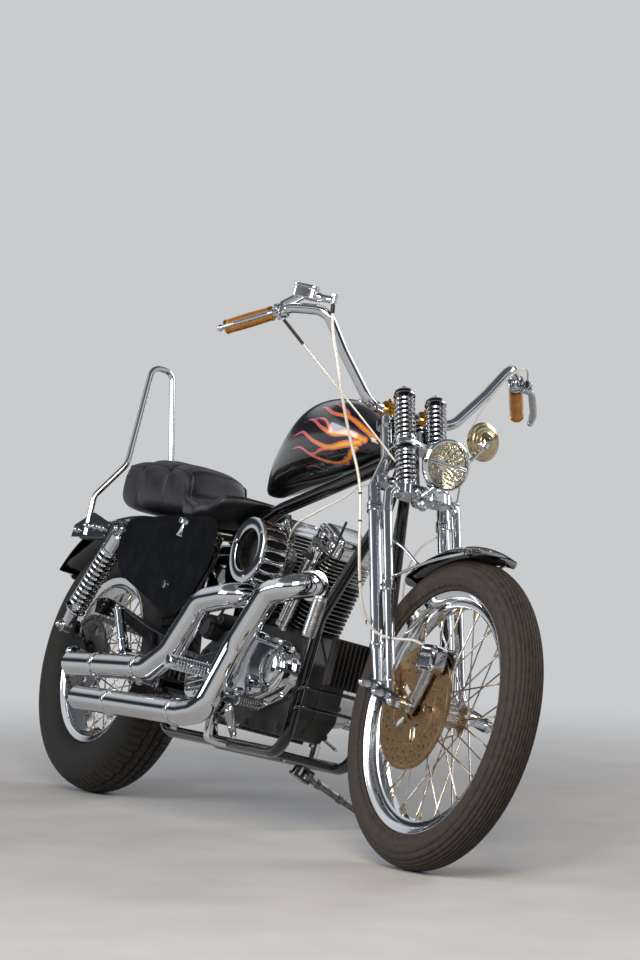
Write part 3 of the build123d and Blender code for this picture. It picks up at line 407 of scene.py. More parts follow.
# Polished brass with a warm brown tarnish in its hollows.
BRASS = finish("polished_brass", METAL, (14, 4), ("#e0a64a", "#a66c22"), (0.16, 0.34))[0]
# Bright plated metal whose colour carries a warm champagne tint, painted in to stand for the warm sunset
# it mirrors: a painted reflection, a champagne mirror with a soft haze.
SUNSET_TINTED_PLATE = finish("plate_with_painted_sunset_tint", METAL, (20, 4), ("#c9bb9c", "#a89672"), (0.14, 0.28))[0]
# Orange-gold anodised aluminium sleeves under a clear skin: satin metal, a little hand-worn.
AMBER = finish("orange_anodised_sleeve",
               {"Metallic": 0.7, "Coat Weight": 0.5, "Coat Roughness": 0.1},
               (26, 3), ("#d98f30", "#c27a24"), (0.28, 0.42))[0]
# Vulcanised rubber: matt black, with dust settled on its sides and in its grooves.
FRONT_RUBBER, REAR_RUBBER = (
    finish(name, {"IOR": 1.5, "Specular IOR Level": 0.35}, (14, 6, 0.6), tones, (0.62, 0.85),
           grain=(1.4, 3, 0.12, 0.5))[0]
    for name, tones in (
        ("front_tyre_rubber", ("#2a2724", "#453a31")), ("rear_tyre_rubber", ("#171615", "#2c2823")),
    )
)
# Black upholstery hide: pebbled grain of about 1.5 mm with a worn satin shine.
HIDE = finish("black_upholstery_hide", {"IOR": 1.48}, (60, 5), ("#101013", "#232226"),
              (0.34, 0.52), cells=(1.5, "SMOOTH_F1", 0.3, 0.45))[0]
# Moulded black rubber and vinyl of sleeves, ferrules and boots.
RUBBER = finish("moulded_black_rubber", {"IOR": 1.5}, (12, 4), ("#141414", "#262523"),
                (0.45, 0.62))[0]
# Moulded red lens plastic, clear and deep.
RED = finish("moulded_red_lens", {"Roughness": 0.12, "IOR": 1.49, "Coat Weight": 0.5},
             (12, 2), ("#7d0b0a", "#4d0404"))[0]
# Pressed lens glass: clear, with the flutes in its shape and a faint warm tint.
LENS_GLASS = finish("pressed_lens_glass",
                    {"Base Color": srgb("#fffaf0"), "Transmission Weight": 1.0, "IOR": 1.45}, (18, 4),
                    rough=(0.0, 0.012))[0]


def clear_hose():
    """Braided steel under a clear sleeve: a pale silvery cord with a fine diagonal weave."""
    material, tree, shader, place = finish(
        "clear_sleeved_braid",
        {"Metallic": 0.35, "Coat Weight": 1.0, "Coat Roughness": 0.12, "Roughness": 0.38},
    )
    pattern = {"Vector": place, "Scale": 1000 / 5.0, "Distortion": 1.5}
    strand = node(tree, "ShaderNodeTexWave", pattern, bands_direction="DIAGONAL").outputs[0]
    tree.links.new(two_tone(tree, strand, "#ece6dc", "#cdc5ba"), shader.inputs["Base Color"])
    return material


def lamp_bowl():
    """Vacuum-coated reflector: a mirror with fine rings left from spinning."""
    material, tree, shader, place = finish(
        "aluminised_reflector", METAL | {"Base Color": srgb("#e6e4de"), "Roughness": 0.03}
    )
    rings = node(
        tree, "ShaderNodeTexWave", {"Vector": place, "Scale": 1000 / 14.0},
        wave_type="RINGS", rings_direction="SPHERICAL",
    ).outputs[0]
    bumped(tree, shader, rings, 0.05, 0.5)
    return material


BRAID = clear_hose()


def shown(name, data):
    """A new object in the scene."""
    made = bpy.data.objects.new(name, data)
    bpy.context.scene.collection.objects.link(made)
    return made


def piece(name, shapes, material, body, replaces=(), crease=32):
    """One object from shapes on the machine, parked, shaded smooth up to a crease angle; its one slot
    holds its material."""
    corners, quads, triangles = together(shapes)
    mesh = bpy.data.meshes.new(name)
    mesh.from_pydata(moved(corners, PARK).tolist(), [], quads.tolist() + triangles.tolist())
    mesh.shade_smooth()
    mesh.set_sharp_from_angle(angle=math.radians(crease))
    mesh.materials.append(material)
    made = shown(name, mesh)
    if body:
        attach(made, body)
    if replaces:
        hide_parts(*replaces)
    return made


# The view solved from the photograph: from the machine's right and ahead of it, in metres
# and degrees of azimuth, rise and roll.
LENS_MM, SENSOR_MM = 164.93, 36.0
CAMERA_SPOT = [9.33559, -5.17289, 1.30356]
CAMERA_TURNS = [151.1849, -2.5074, 0.8256]


def place_camera():
    """Point the camera along its azimuth and rise, rolled about its own view."""
    data = bpy.data.cameras.new("camera")
    data.sensor_width = SENSOR_MM
    data.lens = LENS_MM
    data.clip_end = 200
    azimuth, rise, roll = np.radians(CAMERA_TURNS)
    level_way = np.array([math.cos(azimuth), math.sin(azimuth), 0])
    ahead = math.cos(rise) * level_way + math.sin(rise) * UP
    level = unit(np.cross(ahead, UP))
    above = np.cross(level, ahead)
    right = math.cos(roll) * level + math.sin(roll) * above
    up = -math.sin(roll) * level + math.cos(roll) * above
    made = shown("camera", data)
    made.matrix_world = placing(right, up, -ahead, CAMERA_SPOT).T.tolist()
    bpy.context.scene.camera = made


place_camera()

# Brake hose and control cables
HOSE_RADIUS_M = 0.0035
CABLE_RADIUS = 2.5
BRAKE_HOSE = np.vstack([
    [(1140, -256, 1238.7), (1154, -255, 1190), (1190, -238, 1112), (1208, -212, 1030), (1221, -172, 940)],
    from_fork((2, -137, -165), (-14, -126, -235), (-26, -123, -310), (-30, -122, -395), (-22, -123, -480),
              (10, -125, -550), (62, -122, -598), (120, -112, -626)),
    [(1622, -97, 506), (1667.4, -95, 488)],
])
THROTTLE_CABLE = np.vstack([
    [(1049.5, -325.3, 1181.3)],
    from_fork((27, -62, -100), (6, -34, -126), (-44, -38, -132)),
    [(1106, -46, 852), (1048, -56, 816), (988, -78, 776), (930, -97, 734), (902, -98, 675.6)],
])
CLUTCH_CABLE = np.vstack([
    [(1074.4, 348.9, 1199), (1116, 318, 1224), (1158, 280, 1226), (1174, 240, 1200), (1193, 200, 1150),
     (1213, 160, 1090), (1232, 130, 1026)],
    from_fork((46, 122, -50), (36, 124, -112), (6, 128, -170), (-36, 118, -222)),
    [(1224, 84, 744), (1207, 72, 690), (1196, 80, 632), (1186, 96, 576), (1172, 112, 522),
     (1140, 124, 482), (1090, 112, 468), (1031.3, 97, 442.7)],
])


def brake_hose():
    """A smooth spline with the route's points as its control points, made round."""
    curve = bpy.data.curves.new("brake_hose_line", "CURVE")
    curve.dimensions = "3D"
    curve.bevel_depth = HOSE_RADIUS_M
    curve.bevel_resolution = 3
    curve.use_fill_caps = True
    curve.resolution_u = 12
    spline = curve.splines.new("NURBS")
    route = moved(BRAKE_HOSE, PARK)
    spline.points.add(len(route) - 1)
    spline.points.foreach_set("co", np.hstack([route, np.ones((len(route), 1))]).ravel())
    spline.order_u = 3
    spline.use_endpoint_u = True
    curve.materials.append(BRAID)
    made = shown("brake_hose_line", curve)
    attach(made, "fork")
    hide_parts("brake_hose")


def bending_cable(node_name, points):
    """A control cable that crosses the steering head: one tube along its route, attached to no body and
    fixed where it lies."""
    line = pipe(points, CABLE_RADIUS, 10, 24 * len(points))
    made = piece(node_name + "_line", [line], BRAID, None, [node_name], crease=180)
    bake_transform(made)


brake_hose()
bending_cable("throttle_cable", THROTTLE_CABLE)
bending_cable("clutch_cable", CLUTCH_CABLE)

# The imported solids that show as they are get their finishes.
for names, material in (
    (("fork_rear_legs", "fork_front_legs", "fork_rockers", "handlebar", "sissy_bar"), CHROME),
    (("exhaust_front", "exhaust_rear"), CHROME), (("front_hub", "rear_hub"), WORN_CHROME),
    (("frame", "swingarm"), BLACK), (("rear_sprocket", "side_stand"), STEEL),
    (("front_disc",), DISC), (("intake",), ALLOY), (("regulator",), CRINKLE),
):
    for name in names:
        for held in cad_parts[name].material_slots:
            held.link = "OBJECT"
            held.material = material


# Wheels
FRONT_WAVES, REAR_ZIGZAGS = 80, 44
SPOKES = 40


def arc_through(a, b, c, count):
    """Points along the circle through three points of a plane, from the first to the last."""
    a, b, c = np.array([a, b, c], float)
    middle = np.linalg.solve(2 * np.array([b - a, c - a]), [b @ b - a @ a, c @ c - a @ a])
    angles = np.unwrap([math.atan2(*(p - middle)[::-1]) for p in (a, b, c)])
    turn = np.linspace(angles[0], angles[2], count)
    return middle + np.linalg.norm(a - middle) * np.stack([np.cos(turn), np.sin(turn)], -1)


def tyre_section(tyre_r, half_w, crown_r, rim_r, rim_half_w, shoulder=0):
    """Half of a tyre's outside, as (across, radius), from the middle of the tread to the bead,
    with that many closer steps below the shoulder where a tread runs over it."""
    crown_y = min(crown_r * math.sin(math.acos(1 - tyre_r * 0.045 / crown_r)), half_w * 0.86)
    crown_z = tyre_r - crown_r + math.sqrt(crown_r**2 - crown_y**2)
    widest = (rim_r + tyre_r) / 2 + 4
    crown = arc_through((-crown_y, crown_z), (0, tyre_r), (crown_y, crown_z), 109)[54:]
    wall = arc_through((crown_y, crown_z), (half_w, widest), (rim_half_w - 3, rim_r + 1), 77)
    wall = wall[np.r_[0:shoulder, shoulder:77:4]]
    return np.vstack([crown, wall[1:]]), crown_y


def groove(distance, half_width, depth, edge=0.8):
    """How deep a groove cuts at each distance from its middle line, with sloping walls."""
    return depth * np.clip((half_width - np.abs(distance)) / edge + 0.5, 0, 1)


def front_tread(across, turn, crown_y):
    """Twelve waved grooves round the tyre with ribs between, the last of them on the shoulder."""
    wave = 0.9 * np.abs((turn * FRONT_WAVES / np.pi) % 2 - 1)
    lines = np.arange(-5.5, 6) * 0.222 * crown_y
    return np.max([groove(across - line - wave, 1.6, 4.4) for line in lines], axis=0)


def rear_tread(across, turn, crown_y):
    """Blocks: two zigzag grooves round the tyre, joined by slanted cuts out to the shoulders."""
    pitch = turn * REAR_ZIGZAGS / np.pi
    zigzag = 4.0 * np.abs(pitch % 2 - 1)
    cut = groove(across, 2.2, 6.0)
    for side in SIDES:
        out = across * side
        slant = (pitch + 0.012 * out) % 1 - 0.5
        outer = (out > 0.42 * crown_y) & (out < 1.16 * crown_y)
        inner = (out > 0) & (out <= 0.45 * crown_y)
        cut = np.maximum(cut, groove(out - 0.42 * crown_y - zigzag, 2.4, 6.0))
        cut = np.maximum(cut, outer * groove(slant * 24, 1.9, 5.0))
        cut = np.maximum(cut, inner * groove(((slant + 0.25) % 1 - 0.5) * 24, 1.2, 4.0))
    return cut


def tyre(end, sizes, tread, steps, material):
    """A tyre: its half section mirrored across, turned round the axle, with the tread cut in
    as a drop in radius, raised rings on the wall, and a plain inner face on the rim."""
    half, crown_y = tyre_section(*sizes)
    tyre_r, rim_r, rim_half_w = sizes[0], sizes[3], sizes[4]
    bead = rim_r - 11.6
    inner = [(rim_half_w - 8, bead), (0, bead), (8 - rim_half_w, bead)]
    section = np.vstack([half[:0:-1] * [-1, 1], half, inner])
    turn = round_turn(steps)[:, None]
    across, radius = (np.broadcast_to(section[:, k], (steps, len(section))) for k in (0, 1))
    depth = tread(across, np.broadcast_to(turn, across.shape), crown_y)
    radius = radius - (radius > rim_r + 2) * depth
    from_middle = radius - (tyre_r + rim_r) / 2
    ring = np.cos(from_middle * 0.55) > 0.7
    wall = (np.abs(across) > crown_y * 1.3) & (np.abs(from_middle) < 24)
    across = across + np.sign(across) * 0.8 * (ring & wall)
    grid = np.stack([radius * np.cos(turn), across, radius * np.sin(turn)], -1) + AXLES[end]
    piece(end + "_tyre_tread", [skin(grid, True)], material, end + "_wheel", [end + "_tyre"], crease=28)


def rim(end, rim_r, half_w, hub_r, hub_half_w):
    """A rolled rim: one smooth section with beaded lips turned about the axle, and a nipple
    where each crossed spoke comes in."""
    bead = rim_r - 12
    well = bead - 24
    lip = [
        (half_w - 1.8 + 2.4 * math.cos(a), rim_r - 1.6 + 2.4 * math.sin(a))
        for a in np.linspace(-0.9, 3.6, 9)
    ]
    side = np.array([
        *lip, (half_w - 6.6, bead + 1.5), (half_w - 9, bead - 0.3), (half_w - 16, bead - 0.3),
        (half_w * 0.45, well + 6.5), (half_w * 0.33, well + 4),
    ])
    under = np.array([
        (half_w * 0.3, well), (half_w * 0.42, well + 1.0), (half_w * 0.5, well + 6),
        (half_w - 17, bead - 7), (half_w - 13, bead - 5.4), (half_w - 5, bead - 4.6),
        (half_w - 1.6, bead + 2),
    ])
    section = np.vstack([side, side[::-1] * [-1, 1], (under * [-1, 1])[::-1], under])
    nipples = []
    for number in range(SPOKES):
        flange = 1 if number % 2 else -1
        lead = 1 if number // 2 % 2 else -1
        turn = 2 * np.pi / SPOKES * (number + 0.5)
        start = polar(hub_r - 4, turn + math.radians(62) * lead) + flange * (hub_half_w - 8) * ACROSS
        tip = polar(well - 1.6, turn) + flange * 5.0 * ACROSS
        run = start - tip
        nipples.append(turned([(0, 2.3), (1, 3.0), (11, 3.0), (14, 3.6), (17.4, 3.6)],
                              AXLES[end] + tip + 16.2 * unit(run), -run, 8))
    body = end + "_wheel"
    piece(end + "_rim_rolled", [hollow_turned(section, AXLES[end], ACROSS, 160)], CHROME, body,
          [end + "_rim"], crease=40)
    piece(end + "_spoke_nipples", nipples, SUNSET_TINTED_PLATE, body)


def hub_caps(end, hub_r, half_w):
    """A grooved cap on each end of a hub."""
    profile = np.array([(0, 0.5), (2, 0.5), (2.6, 0.42), (3.4, 0.42), (4, 0.34)]) * [1, hub_r]
    ways = [side * ACROSS for side in SIDES]
    ends = [turned(profile, AXLES[end] + (half_w - 3) * way, way, 40) for way in ways]
    piece(end + "_hub_caps", ends, CHROME, end + "_wheel")


# Tyre radius, half width and crown radius, rim radius and half width, closer shoulder steps
tyre("front", (357, 46, 48, 280.5, 33, 24), front_tread, 500, FRONT_RUBBER)
tyre("rear", (336, 76, 84, 217, 52), rear_tread, 572, REAR_RUBBER)
rim("front", 280.5, 33, 38, 52)
rim("rear", 217, 52, 46, 62)
hub_caps("front", 38, 52)
hub_caps("rear", 46, 62)

# Brake disc: its bolts and rivets, and the bright edges of its slots and holes
ON_DISC = AXLES["front"] + 78.5 * OUT
FIFTHS = np.arange(5) * 2 * np.pi / 5
disc_bolts, edges = [], []
for angle in FIFTHS + 0.3:
    disc_bolts.append(hex_bolt(ON_DISC + polar(43, angle), OUT, 9, 4))
    disc_bolts.append(turned([(-0.2, 5), (1.2, 5), (2, 3.8)], ON_DISC + polar(84, angle + 0.3), OUT, 16))
piece("disc_bolts", disc_bolts, STEEL, "front_wheel")
for angle in FIFTHS:
    half_turn = np.linspace(-np.pi / 2, np.pi / 2, 10)
    far_end = np.stack([10.5 + 8.5 * np.cos(half_turn), 8.5 * np.sin(half_turn)], -1)
    spin = [[math.cos(angle), math.sin(angle)], [-math.sin(angle), math.cos(angle)]]
    slot_x, slot_z = ((np.vstack([far_end, -far_end]) + [62, 0]) @ spin).T
    path = np.stack([slot_x, np.full(20, -78.4), slot_z], -1) + AXLES["front"]
    edges.append(carried(path, circle(1.1, 6), OUT, closed=True))
for radius, count, shift in ((100, 20, 0), (113, 20, 9), (126, 20, 0)):
    for angle in np.radians(shift + np.arange(count) * 360 / count):
        eyelet = [(-0.4, 3.5), (0.25, 3.7), (0.35, 5.0), (-0.4, 5.2)]
        edges.append(hollow_turned(eyelet, ON_DISC + polar(radius, angle), OUT, 14))
for radius in (84, 134):
    band = [(-0.3, radius - 1.2), (0.5, radius), (-0.3, radius + 1.2)]
    edges.append(hollow_turned(band, ON_DISC, OUT, 120))
piece("disc_hole_rims", edges, SUNSET_TINTED_PLATE, "front_wheel")

# Front caliper: a forged bracket from the axle, and two ribbed halves bolted over the disc
CALIPER = AXLES["front"] + [66, 0, 112]
arm = flowing_loop([(-17, -2), (-10, 14), (46, 110), (62, 118), (72, 104), (60, 84), (16, -8), (2, -17),
                    (-12, -13)], 60)
bracket = [plate(arm, 6, AXLES["front"] + 83.5 * OUT, *FROM_SIDE, 1.6)]
for start, stop in (((-6, -90, -2), (30, -90, 96)), ((16, -90, -2), (58, -90, 92))):
    bracket.append(bar(AXLES["front"] + start, AXLES["front"] + stop, 3.4, 1.5, 14))
bracket.append(turned([(0, 15), (2, 16), (5, 16), (6, 13)], AXLES["front"] + 89 * OUT, OUT, 36))
piece("caliper_bracket", bracket, ALLOY, "fork")
halves = [
    plate(rounded_box(74, 60, 15, 7), high - low, CALIPER + [0, high, 0], *FROM_SIDE, 4)
    for low, high in ((-118, -83.5), (-68.5, -58))
]
halves += [
    plate(rounded_box(3, 44, 1.4, 3), 5, CALIPER + [rib, -117, 0], *FROM_SIDE, 1)
    for rib in np.linspace(-24, 24, 7)
]
halves += [socket_bolt(CALIPER + [x, -117.6, z], OUT, 6, 5) for x in (-26, 26) for z in (20, -20)]
halves.append(hex_bolt(CALIPER + [-38, -94, 14], -AHEAD, 12, 6))
halves.append(bar((1667, -95, 489), (1678, -95, 489), 6))
piece("front_caliper_body", halves, CHROME, "fork", ["front_caliper"])

# Springer fork, drawn in its own frame
springs, caps, trim = [], [], []
for side in SIDES:
    y = side * 44.0
    springs.append(helix((57, y, -65.4), UP, 21.8, 3.5, 12.2, 9.9))
    springs.append(helix((57, y, -188.4), UP, 21.8, 3.5, 12.2, 8.5))
    springs += [
        turned([(0, 24), (0.8, 26.4), (3.4, 26.4), (4, 24)], (57, y, z), UP, 40)
        for z in (-188.5, -86.2, -65.8, 51.4)
    ]
    springs.append(dome_nut((57, y, 68.0), UP, 15))
    springs.append(plate(rounded_box(42, 26, 8) + [37, side * 56], 15.6, -81.8 * UP, *FROM_ABOVE, 2.2))
    caps.append(bar((57, y, -188.7), (57, y, 60), 14))
    caps.append(turned([(0, 24), (7, 24), (10.5, 21), (12.5, 15), (13.5, 11)], (57, y, 55.2), UP, 40))
bridge = flowing_loop([
    (34, -66), (46, -70), (62, -69), (74, -60), (78, -44), (74, -20), (72, 0), (74, 20), (78, 44),
    (74, 60), (62, 69), (46, 70), (34, 66), (30, 40), (30, 0), (30, -40),
], 96)
springs.append(plate(bridge, 16, -82 * UP, *FROM_ABOVE, 3))
for side in SIDES:
    out = side * ACROSS
    trim += [dome_nut((x, side * 134, z), out, size)
             for x, z, size in ((0, -690, 17), (52, -735, 17), (118.2, -786.4, 22))]
    trim += [collar((0, side * 96, z), UP, 0, 7, 15.4, 18.6, 0.8, 32) for z in (-229.5, -241.5, -590)]
    trim.append(collar((52, side * 96, -470), UP, 0, 24, 12, 15.5, 2, 28))
    trim.append(hex_bolt((52, side * 112, -458), out, 9, 4))
    trim.append(collar((52, side * 96, -700), UP, 0, 10, 12.2, 14, 1, 28))
    trim.append(hex_bolt((57, side * 70, -189.2), UP, 15, 8))
    trim.append(dome_nut((0, side * 58, 14), UP, 20))
    trim.append(hex_bolt((20, side * 88, -156.2), UP, 11, 6))
    trim.append(collar((57, side * 58, -201.5), UP, -13.4, 13.4, 15, 19, 1.4, 36))
    trim.append(hex_bolt((57, side * 58, -215), -UP, 13, 6))
    trim.append(plate(rounded_box(34, 26, 9, 5), 5, (57, side * 84, -205), *FROM_ABOVE, 1.4))
    trim.append(dome_nut((36, side * 40, -201.5), -AHEAD, 12))
    trim.append(bar((79, side * 24, -202), (84, side * 24, -202), 7))
trim += [
    turned([(0, 20), (3, 21), (8, 21), (12, 15), (13, 9)], (0, 0, 9.6), UP, 40),
    dome_nut(22 * UP, UP, 22), turned([(0, 17), (4, 17), (6, 12)], (57, 0, -189.2), UP, 36),
    turned([(0, 25), (1.4, 27), (7, 27), (9, 24), (9.6, 15), (14, 14), (15, 8)], (57, 0, -213.6), -UP,
           44),
    hex_bolt((57, 0, -228), -UP, 17, 8),
]
for name, shapes, material, replaced in (
    ("springer_springs", springs, CHROME, ["fork_springs"]), ("spring_caps", caps, BLACK, ()),
    ("fork_nuts_and_collars", trim, CHROME, ()),
):
    piece(name, [placed(shape, FORK) for shape in shapes], material, "fork", replaced)

# Headlight: a spun shell with a rolled bezel, a fluted lens and a bright bowl behind it
LAMP = from_fork((148, 0, -160))
LENS_R = 51.2


def facet_bowl():
    """A deep bowl x = -33 + 41 (r/51)^2, pressed into facets: 20 waves round it, 2.3 mm deep,
    that shift by half a wave from one of its 5 rings to the next."""
    share = np.linspace(0.06, 1, 46)[:, None]
    turn = round_turn(160)[None, :]
    ring = (np.floor(share * 5) % 2) * np.pi
    wave = 2.3 * np.cos(20 * turn + ring) * np.sin(share * 5 * np.pi) ** 2 * share
    front = -33 + 41 * share**2 + wave
    radius = 51.4 * share
    inner = np.stack([front, radius * np.cos(turn), radius * np.sin(turn)], -1)
    return skin(np.concatenate([inner[::-1] - AHEAD, inner]) + LAMP, True)


def fluted_lens():
    """A shallow disc whose front bulges by 5.5 (1 - (r/51.2)^2) mm, plain in the middle and
    pressed into upright flutes, a sine 8.2 mm from one to the next, past 34 mm from it."""
    radius = np.linspace(0, LENS_R, 40)[:, None]
    turn = round_turn(160)[None, :]
    y, z = radius * np.cos(turn), radius * np.sin(turn)
    flute = 0.3 * np.abs(np.sin(y * np.pi / 8.2)) * np.clip((radius - 34) / 4, 0, 1)
    flute = flute * np.clip((50 - radius) / 2, 0, 1)
    dome = 1 - (radius / LENS_R) ** 2
    front = np.stack([11 + 5.5 * dome + flute, y, z], -1)
    back = np.stack([np.broadcast_to(9.0 + 5.0 * dome, y.shape), y, z], -1)
    return skin(np.concatenate([back[1:], front[:0:-1]]) + LAMP)


outside = [(-50, 6), (-49, 14), (-45, 24), (-38, 34), (-28, 43), (-14, 51), (-2, 55.4), (0, 57),
           (3, 58.4), (9, 58.8), (14, 58), (16.5, 55), (16.5, 52.4), (13, 51.6)]
inside = [(9, 51.6), (-8, 49), (-28, 39), (-42, 22), (-46, 6)]
bezel = [(9, 52), (16, 52), (19.4, 54), (19.8, 57), (17, 60.4), (9, 60.4)]
lamp = [
    hollow_turned(outside + inside, LAMP, AHEAD, 72), hollow_turned(bezel, LAMP, AHEAD, 88),
    turned([(-53, 3), (-52, 8), (-45, 8)], LAMP, AHEAD, 24),
    bar(*from_fork((130, 0, -202), (79.3, 0, -202)), 8),
    bar(*from_fork((130, 0, -208), (130, 0, -172)), 9),
    dome_nut(from_fork((130, 0, -214)), -STEERING, 14),
]
lamp += [bar(LAMP + [8, side * 57, 0], LAMP + [8, side * 62, 0], 5) for side in SIDES]
lamp += [
    turned([(0, 2.6), (1.2, 2.6), (1.8, 1.6)], LAMP + [16, 55 * math.cos(a), 55 * math.sin(a)], AHEAD, 12)
    for a in (0.5, 2.6, 4.7)
]
across_lens = LAMP + [(18, -50, 0), (24.5, -30, 0), (26, 0, 0), (24.5, 30, 0), (18, 50, 0)]
bulb = [(0, 7), (6, 9), (16, 9), (22, 11), (25, 14), (27, 13), (30, 4)]
piece("headlight_shell", lamp, CHROME, "fork", ["headlight"])
piece("headlight_bowl", [facet_bowl()], lamp_bowl(), "fork", crease=60)
piece("headlight_lens", [fluted_lens()], LENS_GLASS, "fork")
piece("headlight_bar", [pipe(across_lens + z * UP, 2.3, 12, 40) for z in (-2.6, 2.6)], CHROME, "fork")
piece("headlight_bulb", [turned(bulb, LAMP - 28 * AHEAD, AHEAD, 32)], CHROME, "fork")

# Mirror: a spun back with stepped rings, its glass turned to the rear
spun_back = [
    (-5.0, 43.6), (-4.6, 45.0), (-3.4, 46.4), (-1.2, 46.6), (0.4, 45.6), (1.4, 43.4), (3.4, 42.4),
    (4.4, 39.5), (6.0, 36), (7.2, 35), (8.8, 29), (10.4, 27.6), (12.2, 20), (13.4, 18.8), (14.6, 11),
    (16.4, 9), (17.2, 4),
]
spun = turned(spun_back, (1282.5, 145, 1015), (1, 0.1, 0.1), 72)
# The mirror back's warm tint is a painted reflection of warm sunset, not the metal's own colour.
piece("mirror_back", [spun], SUNSET_TINTED_PLATE, "fork", ["mirror"])
stalk = [(1318, 36, 952), (1328, 66, 946), (1306, 104, 957), (1294, 134, 990), (1293, 143, 1008)]
piece("mirror_stalk", [
    pipe(stalk, 5.2, 16, 60), collar((1293.4, 141, 1000), (0, 0.3, 1), 0, 14, 9, 11, 1, 24),
    dome_nut((1296, 131, 1005), (0.2, -1, 0), 10), dome_nut((1318, 28, 952), (0, -1, 0.1), 13),
], CHROME, "fork")

# Handlebar fittings
GRIP_IN, GRIP_OUT = np.array([1030, 346, 1191.0]), np.array([951, 414, 1138.0])
LEVER_STEPS = np.linspace(0, 1, 60)
risers, grips, caps, controls = [], [], [], []


def lever(base, along, front):
    """A hand lever: a split clamp round the bar, its pivot, and a flattened blade that swings
    out ahead of the grip to a ball end."""
    high = unit(np.cross(front, along))
    middle = base + along * 12
    pivot = middle + front * 32
    knee = pivot + along * 46 + front * 14
    tip = knee + along * 94 - front * 8
    clamp = [(0, 17.6), (1.6, 20), (9, 20), (10, 18.2), (16, 18.2), (17, 20), (24.4, 20), (26, 17.6)]
    lug = flowing_loop([(0, 0), (14, -11), (38, -9), (42, 0), (38, 9), (14, 11)], 48)
    blade = flowing([pivot, pivot + along * 18 + front * 12, knee, knee + along * 52 + front, tip], 60)
    width = np.interp(LEVER_STEPS, [0, 0.12, 0.5, 0.92, 1], [1.25, 1.1, 1.1, 0.95, 0.7])
    end_turn = np.linspace(-np.pi / 2 * 0.96, np.pi / 2 * 0.96, 12)
    ball = np.stack([8.2 * np.sin(end_turn) + 4, 8.2 * np.cos(end_turn)], -1)
    return [
        turned(clamp, base, along, 40),
        *(plate(lug, 4.5, middle + high * z, front, along, 1) for z in (-10, 5)),
        bar(pivot - high * 13, pivot + high * 13, 5.4), dome_nut(pivot + high * 12, high, 10),
        *(socket_bolt(base + along * far - front * 18, -front, 4.6, 4) for far in (5, 21)),
        carried(blade, circle(9.5, 20, 0.6), high, width), turned(ball, tip, along, 24),
    ]


for side in SIDES:
    inner, outer = GRIP_IN * [1, side, 1], GRIP_OUT * [1, side, 1]
    along = unit(outer - inner)
    length = np.linalg.norm(outer - inner)
    swell = [(12 + t * (length - 16), 16.6 + math.sin(math.pi * t)) for t in np.linspace(0, 1, 12)]
    grips.append(turned([(9, 15.6), (12, 16.6), *swell, (length - 2, 15.6)], inner, along))
    caps.append(turned([(0, 15), (0.8, 17.6), (7.2, 17.6), (8, 16.6), (9.4, 16.2)], inner, along))
    cap = np.add([(-3, 15.8), (-2, 17.4), (3.4, 17.4), (5.6, 15.0), (6.0, 9)], [length, 0])
    caps.append(turned(cap, inner, along))
    controls += lever(inner - along * 34, along, unit([0.62, side * 0.62, -0.2]))
    y = side * 50
    ring = [(-11, 13.2), (-11, 20), (-9.5, 21.6), (9.5, 21.6), (11, 20), (11, 13.2)]
    riser = [
        turned([(0, 15), (3, 15), (5, 13), (20, 13), (24, 15)], (-2.8, y, 16.3), UP, 36),
        hollow_turned(ring, (-5.6, y, 43.4), ACROSS, 48),
        plate(rounded_box(40, 3, 1.2, 3), 22, (-5.6, y + 11, 43.4), *FROM_SIDE, 0.8),
        *(socket_bolt((-5.6 + x, y, 61), UP, 5, 6) for x in (-12, 12)),
    ]
    risers += [placed(shape, FORK) for shape in riser]

# The brake's master cylinder and its fluid box, on the right
box_x, box_y = unit([0.66, 0.75, 0]), unit([-0.75, 0.66, 0])
BOX = np.array([1080, -300, 1240.0])
controls.append(plate(rounded_box(56, 42, 8), 24, BOX, box_x, box_y, 2))
controls.append(plate(rounded_box(59, 45, 9), 7, BOX + 24.6 * UP, box_x, box_y, 2))
controls += [
    turned([(0, 3.2), (1.4, 3.2), (2, 2.2)], BOX + 21 * x * box_x + 14 * y * box_y + 31.4 * UP, UP, 14)
    for x in SIDES for y in SIDES
]
controls += [
    bar((1046, -336, 1212), (1078, -302, 1250), 11),
    turned([(0, 10), (12, 11.5), (40, 11.5), (44, 9), (66, 9), (70, 11), (77, 11)], (1078, -302, 1248),
           (62, 46, 0), 32),
    hex_bolt((1140, -256, 1256), UP, 14, 7), bar((1140, -256, 1240), (1140, -256, 1256), 7.5),
]
piece("riser_clamps", risers, BRASS, "fork", ["risers"])
piece("grip_barrels", grips, AMBER, "fork", ["grips"])
piece("grip_end_bands", caps, BRASS, "fork")
piece("hand_levers", controls, CHROME, "fork", ["hand_controls"])
sleeves = []
for points, radius, reach in ((BRAKE_HOSE, 5.2, 24), (THROTTLE_CABLE, 4.0, 74), (CLUTCH_CABLE, 4.4, 24)):
    run = unit(points[1] - points[0])
    sleeve = [(0, 4.4), (1, radius), (reach - 4, radius), (reach, 3.4)]
    sleeves.append(turned(sleeve, points[0] + run, run, 20))
for index, share in ((5, 0.5), (6, 0.4), (8, 0.3), (9, 0.8), (11, 0.5)):
    first, second = BRAKE_HOSE[index : index + 2]
    sleeves.append(collar(first + share * (second - first), second - first, -2.2, 2.2, 3.6, 4.4, 0.2, 20))
piece("hose_ferrules_and_ties", sleeves, RUBBER, "fork")


